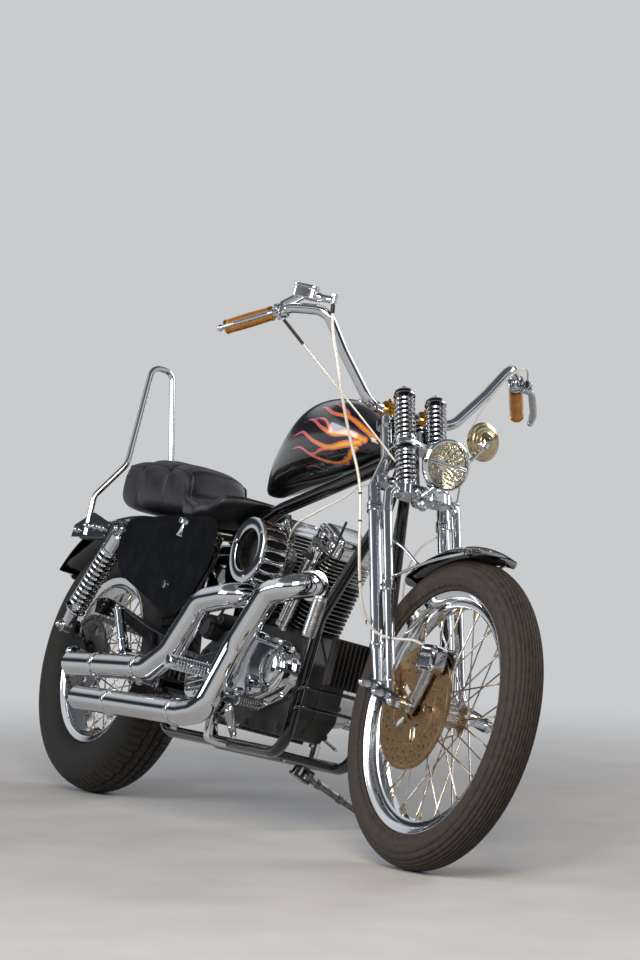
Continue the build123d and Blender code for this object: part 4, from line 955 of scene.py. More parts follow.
# Fenders: pressed skins with rolled edges, and the front one's stays
def guard_skin(name, end, body, half_w, top_r, side_r, start, stop, pull, wall=2.5, bead=1.6):
    """A mudguard: an arc across that falls from its top to its side radius, turned about the
    axle; its long edges are rolled into a bead, and its ends cut round by drawing the corners
    back by the pull times the share across to the power 2.4."""
    across = np.linspace(-1, 1, 61)
    sag = top_r - side_r
    curve = (half_w**2 + sag**2) / (2 * sag)
    y = half_w * across
    r = top_r - curve + np.sqrt(curve**2 - y**2)
    turn = np.linspace(0, 1, 97)[:, None]
    back = pull * np.abs(across) ** 2.4
    angle = np.radians((start + back) * (1 - turn) + (stop - back) * turn)
    rolled = bead * np.clip((np.abs(across) - 0.955) / 0.03, 0, 1)
    outer, inner = (
        np.stack([radius * np.cos(angle), np.broadcast_to(y, angle.shape), radius * np.sin(angle)], -1)
        for radius in (r + rolled, r - wall - rolled)
    )
    grid = np.concatenate([outer, inner[:, ::-1]], 1) + AXLES[end]
    piece(name + "_skin", [skin(grid)], BLACK, body, [name])


guard_skin("front_fender", "front", "fork", 56, 389, 363, 72, 134, 9)
stays = []
for side in SIDES:
    for angle, z in ((86, -430), (118, -330)):
        spot = AXLES["front"] + polar(365, math.radians(angle)) + side * 55 * ACROSS
        near, far = from_fork((52, side * 84, z), (48, side * 86, z))
        stays.append(pipe([spot, (spot + near) / 2 + [0, side * 4, 6], far], 3.6, 12, 24))
        stays.append(hex_bolt(spot + side * 2 * ACROSS, side * ACROSS, 10, 4))
piece("front_fender_stays", stays, CHROME, "fork")
guard_skin("rear_fender", "rear", "root", 92, 390, 356, 28, 148, 4)

# Tail lamp: a chrome rim round a red lens
lamp_axis = unit([-0.88, 0, 0.47])
lamp_rise = np.cross(lamp_axis, ACROSS)
lamp_at = AXLES["rear"] + polar(417, math.radians(147.5))
outline = rounded_box(70, 44, 18, 8)
lamp_rim, lamp_edge, lens = (
    plate(outline * scale, thickness, lamp_at + far * lamp_axis, ACROSS, lamp_rise, edge)
    for scale, thickness, far, edge in ((1, 34, -22, 3), (1.04, 5, 11, 1.5), (0.9, 13, 14, 5))
)
piece("tail_lamp_shell", [lamp_rim, lamp_edge], CHROME, "root", ["tail_lamp"])
piece("tail_lamp_lens", [lens], RED, "root")


# Engine: covers drawn as round hulls, stacked up in rows of (inset, height)
def round_hull(circles, count=120):
    """The outline round several circles: in each direction, the circle that reaches furthest."""
    circles = np.asarray(circles, float)
    turn = round_turn(count)
    ways = np.stack([np.cos(turn), np.sin(turn)], -1)
    best = np.argmax(ways @ circles[:, :2].T + circles[:, 2], axis=1)
    return circles[best, :2] + circles[best, 2:] * ways


def inset(outline, distance):
    """An outline drawn in along its own normals."""
    run = unit(np.roll(outline, -1, 0) - np.roll(outline, 1, 0))
    return outline + distance * np.stack([-run[:, 1], run[:, 0]], -1)


def rising(outline, rows, base, x_axis, y_axis):
    """An outline stacked up along x_axis x y_axis, each row drawn in by its own distance."""
    rings = [lifted(inset(outline, distance), height, base, x_axis, y_axis) for distance, height in rows]
    return skin(np.stack(rings))


def domed(low, high, radius, start=0.0, steps=6):
    """Rows of a straight side that ends in a rounded edge."""
    turn = np.linspace(0, np.pi / 2, steps)[1:]
    edge = [(start + radius * (1 - math.cos(a)), high - radius + radius * math.sin(a)) for a in turn]
    return [(start, low), (start, high - radius), *edge]


def spaced(loop, count):
    """Spots spaced evenly along a closed outline."""
    loop = np.vstack([loop, loop[:1]])
    run = np.concatenate([[0], np.cumsum(np.linalg.norm(np.diff(loop, axis=0), axis=1))])
    wanted = np.arange(count) / count * run[-1]
    return np.stack([np.interp(wanted, run, loop[:, k]) for k in (0, 1)], -1)


def cover(outline, low, high, screws, edge=12.0, flange=14.0):
    """A cast side cover: a flange with screws in it, and a raised, rounded middle."""
    rows = [(0.8, 0), (0, 0.8), (0, flange - 1.2), (1.2, flange), (9.4, flange), (10.6, flange + 1.4)]
    rows += domed(flange + 1.4, high - low, edge, 10.8)[1:]
    spots = spaced(inset(outline, 5.2), screws)
    heads = [socket_bolt((x, -low - flange, z), OUT, 4.4, 4.5) for x, z in spots]
    return [rising(outline, rows, (0, -low, 0), *FROM_SIDE), *heads]


def small_screw(spot, axis):
    """A low round screw head."""
    return turned([(0, 4), (2, 4), (2.8, 3)], spot, axis, 16)


TILT = math.radians(22.5)
FIN_SIZE = 132
FIN_HEIGHTS = np.arange(131, 268, 11.2)
HEAD_FIN_HEIGHTS = np.arange(277, 336, 9.6)


def leaning(sign):
    """One cylinder's own frame: x forward across it, y left, z up its bore, from the crank."""
    tilt = TILT * sign
    return placing([math.cos(tilt), 0, -math.sin(tilt)], ACROSS, [math.sin(tilt), 0, math.cos(tilt)],
                   [880, 0, 385])


def fin(sign, height, thickness, edge, grow=0.0, lift=0.0):
    """A fin: a rounded square, cut off at the valley between the cylinders and at the case."""
    square = rounded_box(FIN_SIZE + 2 * grow, FIN_SIZE + 2 * grow, 30, 7)
    valley = (3 - math.sin(TILT) * height) / math.cos(TILT)
    floor = (height * math.cos(TILT) - 108) / math.sin(TILT)
    across = np.clip(square[:, 0], valley - grow, floor)
    outline = np.stack([across * sign, square[:, 1]], -1)[::sign]
    return plate(outline, thickness, (height + lift) * UP, *FROM_ABOVE, edge)


def cylinder(sign, offsets):
    """One cylinder in its own frame, as lists of shapes by the piece they belong to."""
    box = rounded_box(FIN_SIZE, 116, 24, 8)
    layers = (domed(0, 11.4, 1.6), [(1.4, 11), (1.4, 13)], domed(12.6, 29.7, 5), domed(29, 43.6, 7, 12))
    lids = [rising(box, rows, 338.3 * UP, *FROM_ABOVE) for rows in layers]
    for x, y in ((-54, -46), (54, -46), (-54, 46), (54, 46), (0, -51), (0, 51)):
        lids.append(turned([(0, 8), (5, 8), (5.6, 7.4)], (x, y, 363), UP, 24))
        lids.append(hex_bolt((x, y, 368.4), UP, 10, 6))
    plug = [(0, 10.5), (2.4, 10.5), (3.4, 9.4), (3.4, 5), (2.2, 4.6)]
    lids += [turned(plug, (x, -58, 356), OUT, 28) for x in (-26, 26)]
    tube = [(120, 11.4), (129, 11.4), (131, 9), (205, 9), (206, 11), (217, 11), (219, 9.6), (224, 9.6),
            (226, 7.6), (318, 7.6), (320, 10.6), (333, 10.6), (335, 9)]
    aim, plug_at = [-0.25 * sign, -1, 0.3], [34 * sign, -52, 300.0]
    return {
        "cylinder_barrels": [turned([(116, 49.8), (338, 49.8)], (0, 0, 0), UP, 56)],
        "cylinder_fins": [fin(sign, height, 2.6, 0.5) for height in FIN_HEIGHTS],
        "fin_edges": [fin(sign, height, 1.3, 0.3, 0.7, 0.65) for height in FIN_HEIGHTS],
        "cylinder_head_fins": [fin(sign, height, 3.0, 0.7) for height in HEAD_FIN_HEIGHTS],
        "rocker_covers": lids,
        "pushrod_covers": [turned(tube, (offset, -78, 0), UP, 32) for offset in offsets],
        "spark_plug_caps": [
            turned([(0, 9), (22, 9), (23, 6), (30, 6)], plug_at, aim, 6),
            turned([(30, 7.5), (32, 8.6), (58, 8.2), (62, 6), (64, 3)], plug_at, aim, 20),
        ],
    }


rear_cylinder, front_cylinder = cylinder(-1, (-36, -12)), cylinder(1, (6, 32))
for name, material, replaced in (
    ("cylinder_barrels", CRINKLE, ["cylinders"]), ("cylinder_fins", CRINKLE, ()),
    ("fin_edges", ALLOY, ()), ("cylinder_head_fins", ALLOY, ()),
    ("rocker_covers", CHROME, ["rocker_boxes"]), ("pushrod_covers", CHROME, ["pushrod_tubes"]),
    ("spark_plug_caps", RUBBER, ()),
):
    shapes = [placed(shape, leaning(-1)) for shape in rear_cylinder[name]]
    shapes += [placed(shape, leaning(1)) for shape in front_cylinder[name]]
    piece(name, shapes, material, "root", replaced)

CASE_SIDE = 62.3
# Right side: one cover over the cams and one behind it, with a round stepped dome
CAM_DOME = np.array([996, -108.2, 388.0])
right = cover(round_hull([(990, 385, 72), (800, 410, 64), (900, 330, 50)]), CASE_SIDE, 108.6, 11)
right += cover(round_hull([(640, 330, 70), (760, 370, 60)]), CASE_SIDE, 112.6, 8)
right.append(turned([(0, 45), (2, 46), (5, 46), (6.4, 44.6), (6.4, 41), (8.6, 40), (11, 34), (12.8, 24),
                     (13.8, 12), (14, 3)], CAM_DOME, OUT, 64))
right += [small_screw(CAM_DOME + polar(43, angle) + 6 * OUT, OUT) for angle in (0.4, 0.4 + math.pi)]
for row in range(5):
    start = np.array([594 + row * 4, -111.4, 352 - row * 13.0])
    right.append(bar(start, start + [92, 0, 20], 2.6, sides=10))
right.append(hex_bolt((800, -108.4, 432), OUT, 17, 7))
right.append(dome_nut((868, -108.4, 320), OUT, 15))
piece("cam_side_covers", right, CHROME, "root", ["cam_cover"])

# Left side: the long primary cover, with its two inspection lids
primary = round_hull([(960, 372, 98), (640, 345, 82)])
left = [mirrored(shape) for shape in cover(primary, CASE_SIDE, 130.2, 13, 16)]
for x, z, radius, screws in ((652, 346, 52, 5), (956, 372, 30, 2)):
    lid = [(0, radius), (2.6, radius), (3.8, radius - 1.4), (4.2, radius - 12), (4.6, 4)]
    left.append(turned(lid, (x, 129, z), ACROSS, 56))
    for angle in np.arange(screws) * 2 * np.pi / screws + 0.5:
        spot = polar(radius - 7, angle) + [x, 132.6, z]
        left.append(turned([(0, 3.6), (1.8, 3.6), (2.4, 2.8)], spot, ACROSS, 16))
oval = rounded_box(112, 52, 25, 8) + [806, 362]
left.append(mirrored(rising(oval, domed(0, 4, 2.4), (0, -129, 0), *FROM_SIDE)))
left += [small_screw((x, 132.4, 362), ACROSS) for x in (762, 850)]
piece("primary_side_cover", left, CHROME, "root", ["primary_cover"])

# Crankcase: two cast halves on a thin joint, bolted through, with ribs under them
corner = np.array([
    (540, 300), (590, 244), (1010, 236), (1066, 290), (1066, 420), (1000, 492), (760, 492), (610, 450),
    (540, 400), (540, 300),
], float)
spans = np.linspace(0.06, 0.94, 9)[:, None]
case_line = np.vstack([a * (1 - spans) + b * spans for a, b in zip(corner, corner[1:])])
halves = [plate(case_line, 60.8, (0, y, 0), *FROM_SIDE, 3) for y in (62, -1.2)]
halves.append(plate(inset(case_line, 3), 6, (0, 3, 0), *FROM_SIDE, 0.5))
for x, z in ((566, 290), (700, 256), (860, 252), (1020, 258), (1052, 330), (1050, 416), (576, 400),
             (676, 452)):
    halves.append(bar((x, -65, z), (x, 65, z), 9, 1.5))
    halves += [hex_bolt((x, side * 65, z), side * ACROSS, 12, 6) for side in SIDES]
for step in range(6):
    x, z = 660 + 56 * step, 240.5 - step * 1.2
    halves.append(bar((x, -56, z), (x, 56, z), 5))
piece("crankcase_halves", halves, CRINKLE, "root", ["crankcase"])

# Starter motor across the back of the crankcase, with its solenoid, end cap and through bolts
STARTER = np.array([598, 0, 461.0])
can = [(0, 10), (1, 24), (4, 27), (8, 27.6), (9, 30), (12, 31), (96, 31), (99, 30), (100, 27), (132, 27)]
solenoid = [(0, 8), (1, 14), (6, 15.6), (66, 15.6), (68, 13)]
piece("starter_motor", [
    turned(can, STARTER + 100 * OUT, ACROSS), turned(solenoid, (644, -84, 484), ACROSS, 32),
    plate(rounded_box(70, 58, 14), 9, (606, 26, 464), *FROM_SIDE, 1.2),
], CRINKLE, "root")
through_bolts = [hex_bolt((644, -84, 484), OUT, 10, 7)]
for spot in STARTER + [(-29, 0, -12), (29, 0, 12)]:
    through_bolts.append(bar(spot + 103 * OUT, spot + 20 * ACROSS, 2.6))
    through_bolts.append(hex_bolt(spot + 101 * OUT, OUT, 8, 5))
piece("starter_bolts", through_bolts, STEEL, "root")

carb = [
    rising(rounded_box(46, 38, 10, 6), domed(0, 34, 4)[::-1], (900, -98, 640), AHEAD, OUT),
    turned([(0, 5), (3, 7), (8, 7), (9, 5)], (900, -98, 605), -UP, 20),
    turned([(0, 24), (2, 29), (8, 29), (10, 25)], (900, -70, 648), OUT, 40),
    turned([(0, 25), (2, 30), (7, 30), (8, 27)], (900, -115, 648), OUT, 40),
    bar((918, -98, 664), (934, -98, 690), 6),
    *(hex_bolt((900 + x, -98 + y, 640), UP, 7, 4) for x in (-18, 18) for y in (-14, 14)),
]
piece("carburettor_dress", carb, ALLOY, "root")

# Air cleaner: a face ring on slotted bars round a pleated filter
AIR = np.array([900, -124.3, 648.0])
face = [(60, 76), (62, 79.4), (68, 80), (70.6, 79), (71.8, 76.4), (71.8, 54.4), (71, 52.6), (66, 51.8),
        (62, 54), (61.4, 70)]
cage = [turned([(0, 76), (1.5, 79.4), (6, 79.4), (8, 76), (8.4, 62)], AIR, OUT, 88),
        hollow_turned(face, AIR, OUT, 96)]
depth = np.linspace(4, 66, 14)[:, None, None]
half = 5.2 + 6.4 * np.abs((depth - 35) / 31) ** 2.4
turn = round_turn(14)[:, None]
for angle in np.arange(16) * 2 * np.pi / 16 + 0.12:
    ray, lie = polar(1, angle), polar(1, angle + np.pi / 2)
    cage.append(skin(AIR + depth * OUT + (75.4 + 3.6 * np.cos(turn)) * ray + half * np.sin(turn) * lie))
cage += [
    turned([(0, 5.4), (1.4, 5.4), (2.6, 3.8), (2.8, 1)], AIR + 71.6 * OUT + polar(67, angle), OUT, 24)
    for angle in (0.75, 2.85, 4.9)
]
piece("air_cleaner_cage", cage, CHROME, "root", ["air_cleaner"])
PLEATS = 144
turn, reach = round_turn(PLEATS), np.where(np.arange(PLEATS) % 2, 69.5, 64.5)
pleats = np.stack([reach * np.cos(turn), 0 * turn, reach * np.sin(turn)], -1)
rows = ((7, 1), (60, 1), (60, 0.72), (36, 0.7), (34, 0.2))
folded = skin(np.stack([AIR + far * OUT + scale * pleats for far, scale in rows]))
piece("pleated_filter", [folded], RUBBER, "root", crease=20)

# Exhaust: port flanges, and band clamps with their bolts
bands = []
for spot, run in (
    ((846, -82, 552), (0.04, -1, -0.1)), ((1040, -84, 598), (0.6, -0.5, 0)),
    ((520, -200.5, 323.3), (-1, 0, -0.058)), ((300, -202.9, 310.6), (-1, 0, -0.058)),
    ((760, -202.3, 234.8), (-1, 0, -0.03)), ((420, -204.7, 226.5), (-1, 0, -0.025)),
):
    bands.append(turned([(-7, 31), (-6.4, 33), (-5, 33.6), (5, 33.6), (6.4, 33), (7, 31)], spot, run, 56))
    if run[0] == -1:
        lug = np.array(spot) + [0, 6, -35.0]
        bands.append(plate(rounded_box(13, 14, 2, 3), 9, lug + [0, 4.5, 0], *FROM_SIDE, 0.8))
        bands.append(hex_bolt(lug + [0, -4.5, -1], OUT, 9, 5))
for spot, run in (((846, -70, 552), (0.03, -1, -0.1)), ((1040, -74, 598), (0.6, -0.5, 0))):
    bands.append(turned([(0, 36), (1, 38), (6, 38), (7, 35)], spot, run, 48))
piece("exhaust_clamps", bands, CHROME, "root")

# Ribbed sleeve on the down tube
ribs = [(0, 11), (0.8, 15), (6, 16.4)]
for ring in range(22):
    ribs += [(8 + ring * 3.8, 16.2), (9 + ring * 3.8, 17.4), (10.9 + ring * 3.8, 17.4)]
ribs += [(92.8, 16.2), (94, 16.4), (99.5, 15), (100.4, 11)]
piece("ribbed_canister", [turned(ribs, (1166, -124, 470), (10, 4, 100))], ALLOY, "root", ["canister"])

# Tank: a superellipse carried along the machine, with flame tongues painted on both sides
TANK_POWER = 2.35
TANK_CURVE = flowing([
    (604, 24, 806, 830), (690, 70, 830, 940), (820, 104, 858, 1046), (960, 104, 892, 1062),
    (1060, 70, 922, 1016), (1104, 34, 936, 976),
], 500)
# x, z and half width of each tongue on the tank's side, from its root back to its tip
FLAME_TONGUES = (
    ((1096, 972, 6), (1066, 990, 7), (1024, 1008, 5.6), (976, 1012, 4.2), (930, 1024, 2.4),
     (892, 1020, 0.6)),
    ((1082, 960, 8), (1040, 970, 8), (996, 962, 6), (950, 974, 4.4), (904, 990, 2.6), (862, 982, 0.7)),
    ((1070, 952, 9), (1026, 942, 9), (976, 930, 7), (922, 940, 5), (872, 958, 3.2), (826, 948, 1.8),
     (790, 958, 0.6)),
    ((1058, 940, 8), (1012, 914, 7), (960, 900, 6), (908, 906, 4.2), (860, 922, 2.6), (806, 912, 0.6)),
    ((1008, 914, 6), (966, 888, 4.4), (926, 880, 3), (884, 886, 1.8), (850, 880, 0.6)),
    ((1024, 1008, 5), (1002, 1024, 4), (968, 1036, 2.4), (936, 1038, 0.6)),
    ((976, 930, 6), (944, 922, 3.4), (914, 912, 1.8), (892, 914, 0.6)),
    ((996, 962, 5), (964, 990, 3.4), (934, 996, 1.6), (912, 992, 0.6)),
)


def rounded(wave, power):
    """A sine or cosine squared off into a superellipse's, with its sign kept."""
    return np.sign(wave) * np.abs(wave) ** power


def softened(values, reach, count):
    """Values smoothed along their row by a bell of an odd number of steps."""
    bell = np.exp(-np.linspace(-reach, reach, count) ** 2)
    return np.convolve(np.pad(values, count // 2, mode="edge"), bell / bell.sum(), "valid")


def tank_row(x):
    """Half width, middle height and half height of the tank at each x."""
    half, low, high = (np.interp(x, TANK_CURVE[:, 0], TANK_CURVE[:, k]) for k in (1, 2, 3))
    return half, (low + high) / 2, (high - low) / 2


def flame_distance(corners):
    """How far each corner lies outside the nearest tongue, in mm; inside is negative."""
    nearest = np.full(len(corners), 99.0)
    right_side = corners * [1, 0, 1] - np.abs(corners[:, 1:2]) * ACROSS
    for tongue in FLAME_TONGUES:
        x, z, width = flowing(tongue, 70).T
        half, middle, height = tank_row(x)
        rise = np.clip((z - middle) / height, -0.96, 0.96)
        y = -half * (1 - np.abs(rise) ** TANK_POWER) ** (1 / TANK_POWER)
        for spot, reach in zip(np.stack([x, y, z], -1), width):
            nearest = np.minimum(nearest, np.linalg.norm(right_side - spot, axis=1) - reach)
    return nearest


def flame_enamel():
    """Hand-painted flames under clear enamel: yellow to orange with a fine rose pinstripe,
    on gloss black, all from the distance held on the mesh in mm."""
    enamel = {"Coat Weight": 1.0, "Coat Roughness": 0.03, "IOR": 1.5, "Roughness": 0.24}
    material, tree, shader, place = finish(
        "flame_painted_enamel", enamel, grain=(5, 1, 0.02, 0.15)
    )
    held = node(tree, "ShaderNodeAttribute", attribute_name="flame_mm").outputs["Fac"]
    brush = spread(tree, noise(tree, place, 7, 2), -0.25, 0.25)
    wavy = node(tree, "ShaderNodeMath", {0: held, 1: brush}, operation="ADD").outputs[0]
    ramp = node(tree, "ShaderNodeMapRange", {"Value": wavy, "From Min": -9.0, "From Max": 1.4})
    colours = banded(tree, ramp.outputs[0], "#f3cf4a", "#070708", (
        (0.42, "#eaa02a"), (0.66, "#dd6a1e"), (0.76, "#c9491c"), (0.775, "#d8688a"), (0.885, "#d8688a"),
        (0.9, "#070708"),
    ))
    tree.links.new(colours, shader.inputs["Base Color"])
    return material


def banded(tree, value, first, last, between):
    """A colour ramp from the first colour to the last, with stops between."""
    ramp = node(tree, "ShaderNodeValToRGB", {"Fac": value})
    stops = ramp.color_ramp.elements
    stops[0].position, stops[0].color = 0.0, srgb(first)
    stops[1].position, stops[1].color = 1.0, srgb(last)
    for position, colour in between:
        stops.new(position).color = srgb(colour)
    return ramp.outputs[0]


def tank():
    """The tank: at each x a superellipse of power 2.35, its width and height smoothed along its
    length and drawn in round over the last 34 mm behind and 22 mm ahead."""
    x = np.linspace(590, 1112, 700)
    rows = np.linspace(592, 1110, 250)[:, None]
    half, middle, height = (np.interp(rows, x, softened(v, 2.2, 61)) for v in tank_row(x))
    near = np.minimum(np.clip((rows - 590) / 34, 0, 1), np.clip((1112 - rows) / 22, 0, 1))
    close = np.sqrt(1 - (1 - near) ** 2)
    turn = round_turn(176)[None, :]
    y = half * close * rounded(np.cos(turn), 2 / TANK_POWER)
    z = middle + height * close * rounded(np.sin(turn), 2 / TANK_POWER)
    return skin(np.stack(np.broadcast_arrays(rows, y, z), -1))


tank_skin = tank()
tank_piece = piece("flamed_tank", [tank_skin], flame_enamel(), "root", ["fuel_tank"], crease=60)
flame = tank_piece.data.attributes.new("flame_mm", "FLOAT", "POINT")
flame.data.foreach_set("value", flame_distance(tank_skin[0]).astype(np.float32))
lid = [(-6, 30), (0, 31), (1, 33), (6, 33), (8, 31), (9.5, 27), (9.5, 24), (12, 23.4), (14.4, 18),
       (15.2, 9)]
filler = [turned(lid, (955, 0, 1053), UP, 56)]
for angle in np.arange(12) * np.pi / 6:
    notch = np.array([955 + 33 * math.cos(angle), 33 * math.sin(angle), 1054])
    filler.append(bar(notch, notch + 6 * UP, 2.2, sides=8))
filler.append(hex_bolt((612, 0, 832), UP, 12, 6))
piece("tank_filler_cap", filler, CHROME, "root")

# The seat: one padded cover, swollen between its seams like a filled cushion
SEAT_X = (-108, -70, 60, 200, 304, 328, 420, 530, 598)
SEAT_HALF = (62, 86, 98, 102, 98, 108, 124, 104, 40)
SEAT_LOW = (736, 732, 730, 730, 726, 712, 712, 756, 782)
SEAT_HIGH = (800, 866, 880, 878, 862, 800, 776, 800, 806)
SEAT_SHRINK = 7.0
SEAMS = (24.0, 190.0, 316.0, 470.0)
PUFF_EDGES = np.array([-108.0, *SEAMS, 598.0])
SEAM_TURN = 0.62
SEAT_POWER = 0.62
SEAT_STEPS, SEAT_SIDES = 120, 84
UNDERSIDE, SEAM_GRIP, EDGE_GRIP = -0.35, 3.2, 0.045
HELD_BEHIND, HELD_AHEAD = -100, 592
CLOTH_FRAMES = 20
MOST_SWELL_M = 0.015


def seat_row(x):
    """Half width, low and high of the seat's starting form, softened along its length."""
    fine = np.linspace(-180, 670, 851)
    rows = ((SEAT_HALF, SEAT_SHRINK), (SEAT_LOW, -1.0), (SEAT_HIGH, SEAT_SHRINK))
    return [
        np.interp(x, fine, softened(np.interp(fine, SEAT_X, row) - drawn, 2, 25)) for row, drawn in rows
    ]


def seat_surface(x, turn, grow=0.0):
    """A point on the seat: a squarish superellipse, its ends drawn in round over 44 mm behind and
    40 mm ahead, and its edges puffed up between the seams."""
    half, low, high = seat_row(x)
    near = np.minimum(np.clip((x + 106) / 44, 0.02, 1), np.clip((597 - x) / 40, 0.02, 1))
    close = np.sqrt(1 - (1 - near) ** 2)
    edge = np.searchsorted(PUFF_EDGES, x, side="right").clip(1, len(PUFF_EDGES) - 1)
    across = (x - PUFF_EDGES[edge - 1]) / (PUFF_EDGES[edge] - PUFF_EDGES[edge - 1])
    puff = 15.0 * (np.clip(4 * across * (1 - across), 0, 1) ** 0.4 - 1)
    middle, height = (low + high + puff) / 2, (high - low + puff) / 2
    width = np.maximum(half * close + puff * 0.6 + grow, 1.0)
    y = width * rounded(np.cos(turn), SEAT_POWER)
    z = middle + (height * close + grow) * rounded(np.sin(turn), SEAT_POWER)
    return np.stack(np.broadcast_arrays(x, y, z), -1)


def held_corners(x, turn):
    """The underside, the two edge seams, the cross seams and both ends stay still."""
    under = np.sin(turn) < UNDERSIDE
    boxing = np.abs(np.abs(turn - np.pi / 2) - (np.pi / 2 - SEAM_TURN)) < EDGE_GRIP
    cross = (np.min(np.abs(x[:, None] - SEAMS), axis=1) < SEAM_GRIP) & (np.sin(turn) > 0)
    return np.nonzero(under | boxing | cross | (x < HELD_BEHIND) | (x > HELD_AHEAD))[0].tolist()


def cushion():
    """The seat's grid, swollen by cloth pressure with its seams and its underside held still."""
    turn = round_turn(SEAT_SIDES)
    shape = skin(seat_surface(np.linspace(-105, 596, SEAT_STEPS)[:, None], turn[None, :]))
    made = piece("seat_cushion", [shape], HIDE, "root", ["seat"], crease=180)
    held = held_corners(shape[0][:, 0], np.append(np.tile(turn, SEAT_STEPS), [0, 0]))
    made.vertex_groups.new(name="held").add(held, 1.0, "REPLACE")
    cloth = made.modifiers.new("Cloth", "CLOTH")
    settings = cloth.settings
    settings.quality = 6
    settings.mass = 0.25
    settings.tension_stiffness = settings.compression_stiffness = 12
    settings.shear_stiffness = 8
    settings.bending_stiffness = 0.8
    settings.use_pressure = True
    settings.uniform_pressure_force = 4.0
    settings.vertex_group_mass = "held"
    settings.effector_weights.gravity = 0.0
    scene = bpy.context.scene
    for step in range(1, CLOTH_FRAMES + 1):
        scene.frame_set(step)
    swollen = made.evaluated_get(bpy.context.evaluated_depsgraph_get()).to_mesh()
    before, after = np.empty((2, len(made.data.vertices) * 3))
    made.data.vertices.foreach_get("co", before)
    swollen.vertices.foreach_get("co", after)
    shift = (after - before).reshape(-1, 3)
    far = np.linalg.norm(shift, axis=1, keepdims=True)
    shift *= np.minimum(far, MOST_SWELL_M) / np.maximum(far, 1e-9)
    made.modifiers.remove(cloth)
    made.vertex_groups.clear()
    scene.frame_set(1)
    made.data.vertices.foreach_set("co", before + shift.ravel())
    return made


# One live subdivision, the same in the view and the render
smooth = cushion().modifiers.new("Subdivision", "SUBSURF")
smooth.levels = smooth.render_levels = 1
edge_x = np.linspace(-96, 586, 120)
welt_line = np.vstack([
    seat_surface(edge_x, SEAM_TURN, 0.4), seat_surface(edge_x, np.pi - SEAM_TURN, 0.4)[::-1],
])
over_seat = np.linspace(0.1, np.pi - 0.1, 60)
piece("seat_piping", [
    carried(welt_line, circle(2.4, 8), closed=True),
    *(carried(seat_surface(np.full(60, x), over_seat, 0.2), circle(2.0, 8), AHEAD) for x in SEAMS),
], HIDE, "root")
stitches = []
for x in (184.0, 196.0, 464.0, 476.0):
    run = seat_surface(np.full(61, x), np.linspace(0.75, np.pi - 0.75, 61), 1.0)
    stitches += [bar(a, a + 0.62 * (b - a), 0.55, 0.1, 5) for a, b in zip(run, run[1:])]
piece("seat_stitching", stitches, RUBBER, "root")

# Shocks: a wound coil between two perches over a polished damper
shocks, bushes = [], []
for side in SIDES:
    out = side * ACROSS
    top, low = np.array([(150, side * 154, 662.0), (-44, side * 154, 398.0)])
    down = unit(low - top)
    shocks += [turned(profile, top, down, sides) for profile, sides in (
        ([(8, 12), (14, 22), (18, 24.6), (64, 24.6), (66, 27.4), (71, 27.4), (72, 20)], 44),
        ([(266, 20), (267, 27), (272, 27), (275, 22), (284, 17), (300, 15.4), (318, 13)], 44),
        ([(60, 15.5), (282, 15.5)], 32),
    )]
    shocks.append(helix(top + 71 * down, down, 22.6, 4.4, 15.4, 12.9))
    for eye in (top, low):
        ring = [(-13, 10), (-13, 15.6), (-11.6, 17), (11.6, 17), (13, 15.6), (13, 10)]
        shocks.append(hollow_turned(ring, eye, out, 36))
        shocks.append(turned([(13.4, 12), (15.4, 12)], eye, out, 24))
        shocks.append(dome_nut(eye + 15 * out, out, 16))
        bushes.append(turned([(-13.6, 10.4), (13.6, 10.4)], eye, out, 24))
piece("shock_coils", shocks, CHROME, "root", ["shocks"])
piece("shock_bushes", bushes, RUBBER, "root")

# Drive chain: inner and outer links in turn, carried round the two sprockets
PITCH = 15.875
CHAIN_Y = -94


def chain_line(low, high, small, large, step):
    """The chain's middle line: two arcs and the two straights that touch them both."""
    low, high = np.array([low, high], float)
    lean = math.atan2(*(high - low)[::-1])
    bite = math.acos((large - small) / np.linalg.norm(high - low))
    big = lean + np.linspace(bite, 2 * np.pi - bite, 80)
    little = lean + np.linspace(-bite, bite, 60)
    loop = np.vstack([
        low + large * np.stack([np.cos(big), np.sin(big)], -1),
        high + small * np.stack([np.cos(little), np.sin(little)], -1),
    ])
    length = np.linalg.norm(np.roll(loop, -1, 0) - loop, axis=1).sum()
    return np.insert(spaced(loop, 2 * round(length / step / 2)), 1, CHAIN_Y, 1)


pins = chain_line((0, 336), (640, 330), 48, 102, PITCH)
waist = np.array([
    (-11, -4.6), (-8, -6.6), (-3, -4.8), (3, -4.8), (8, -6.6), (11, -4.6), (13, 0), (11, 4.6), (8, 6.6),
    (3, 4.8), (-3, 4.8), (-8, 6.6), (-11, 4.6), (-13, 0),
])
links = []
for number, (first, second) in enumerate(zip(pins, np.roll(pins, -1, 0))):
    run = unit(second - first)
    flat = (first + second) / 2 + waist[:, :1] * run + waist[:, 1:] * np.cross(run, ACROSS)
    inner, outer = (3.4, 4.9) if number % 2 else (5.1, 6.7)
    for low, high in ((inner, outer), (-outer, -inner)):
        links.append(skin(np.stack([flat + low * ACROSS, flat + high * ACROSS])))
    pin = [(-7.4, 2.4), (-3.3, 2.4), (-3.3, 4.6), (3.3, 4.6), (3.3, 2.4), (7.4, 2.4)]
    links.append(turned(pin, first, ACROSS, 8))
piece("chain_links", links, STEEL, "root", ["drive_chain"])

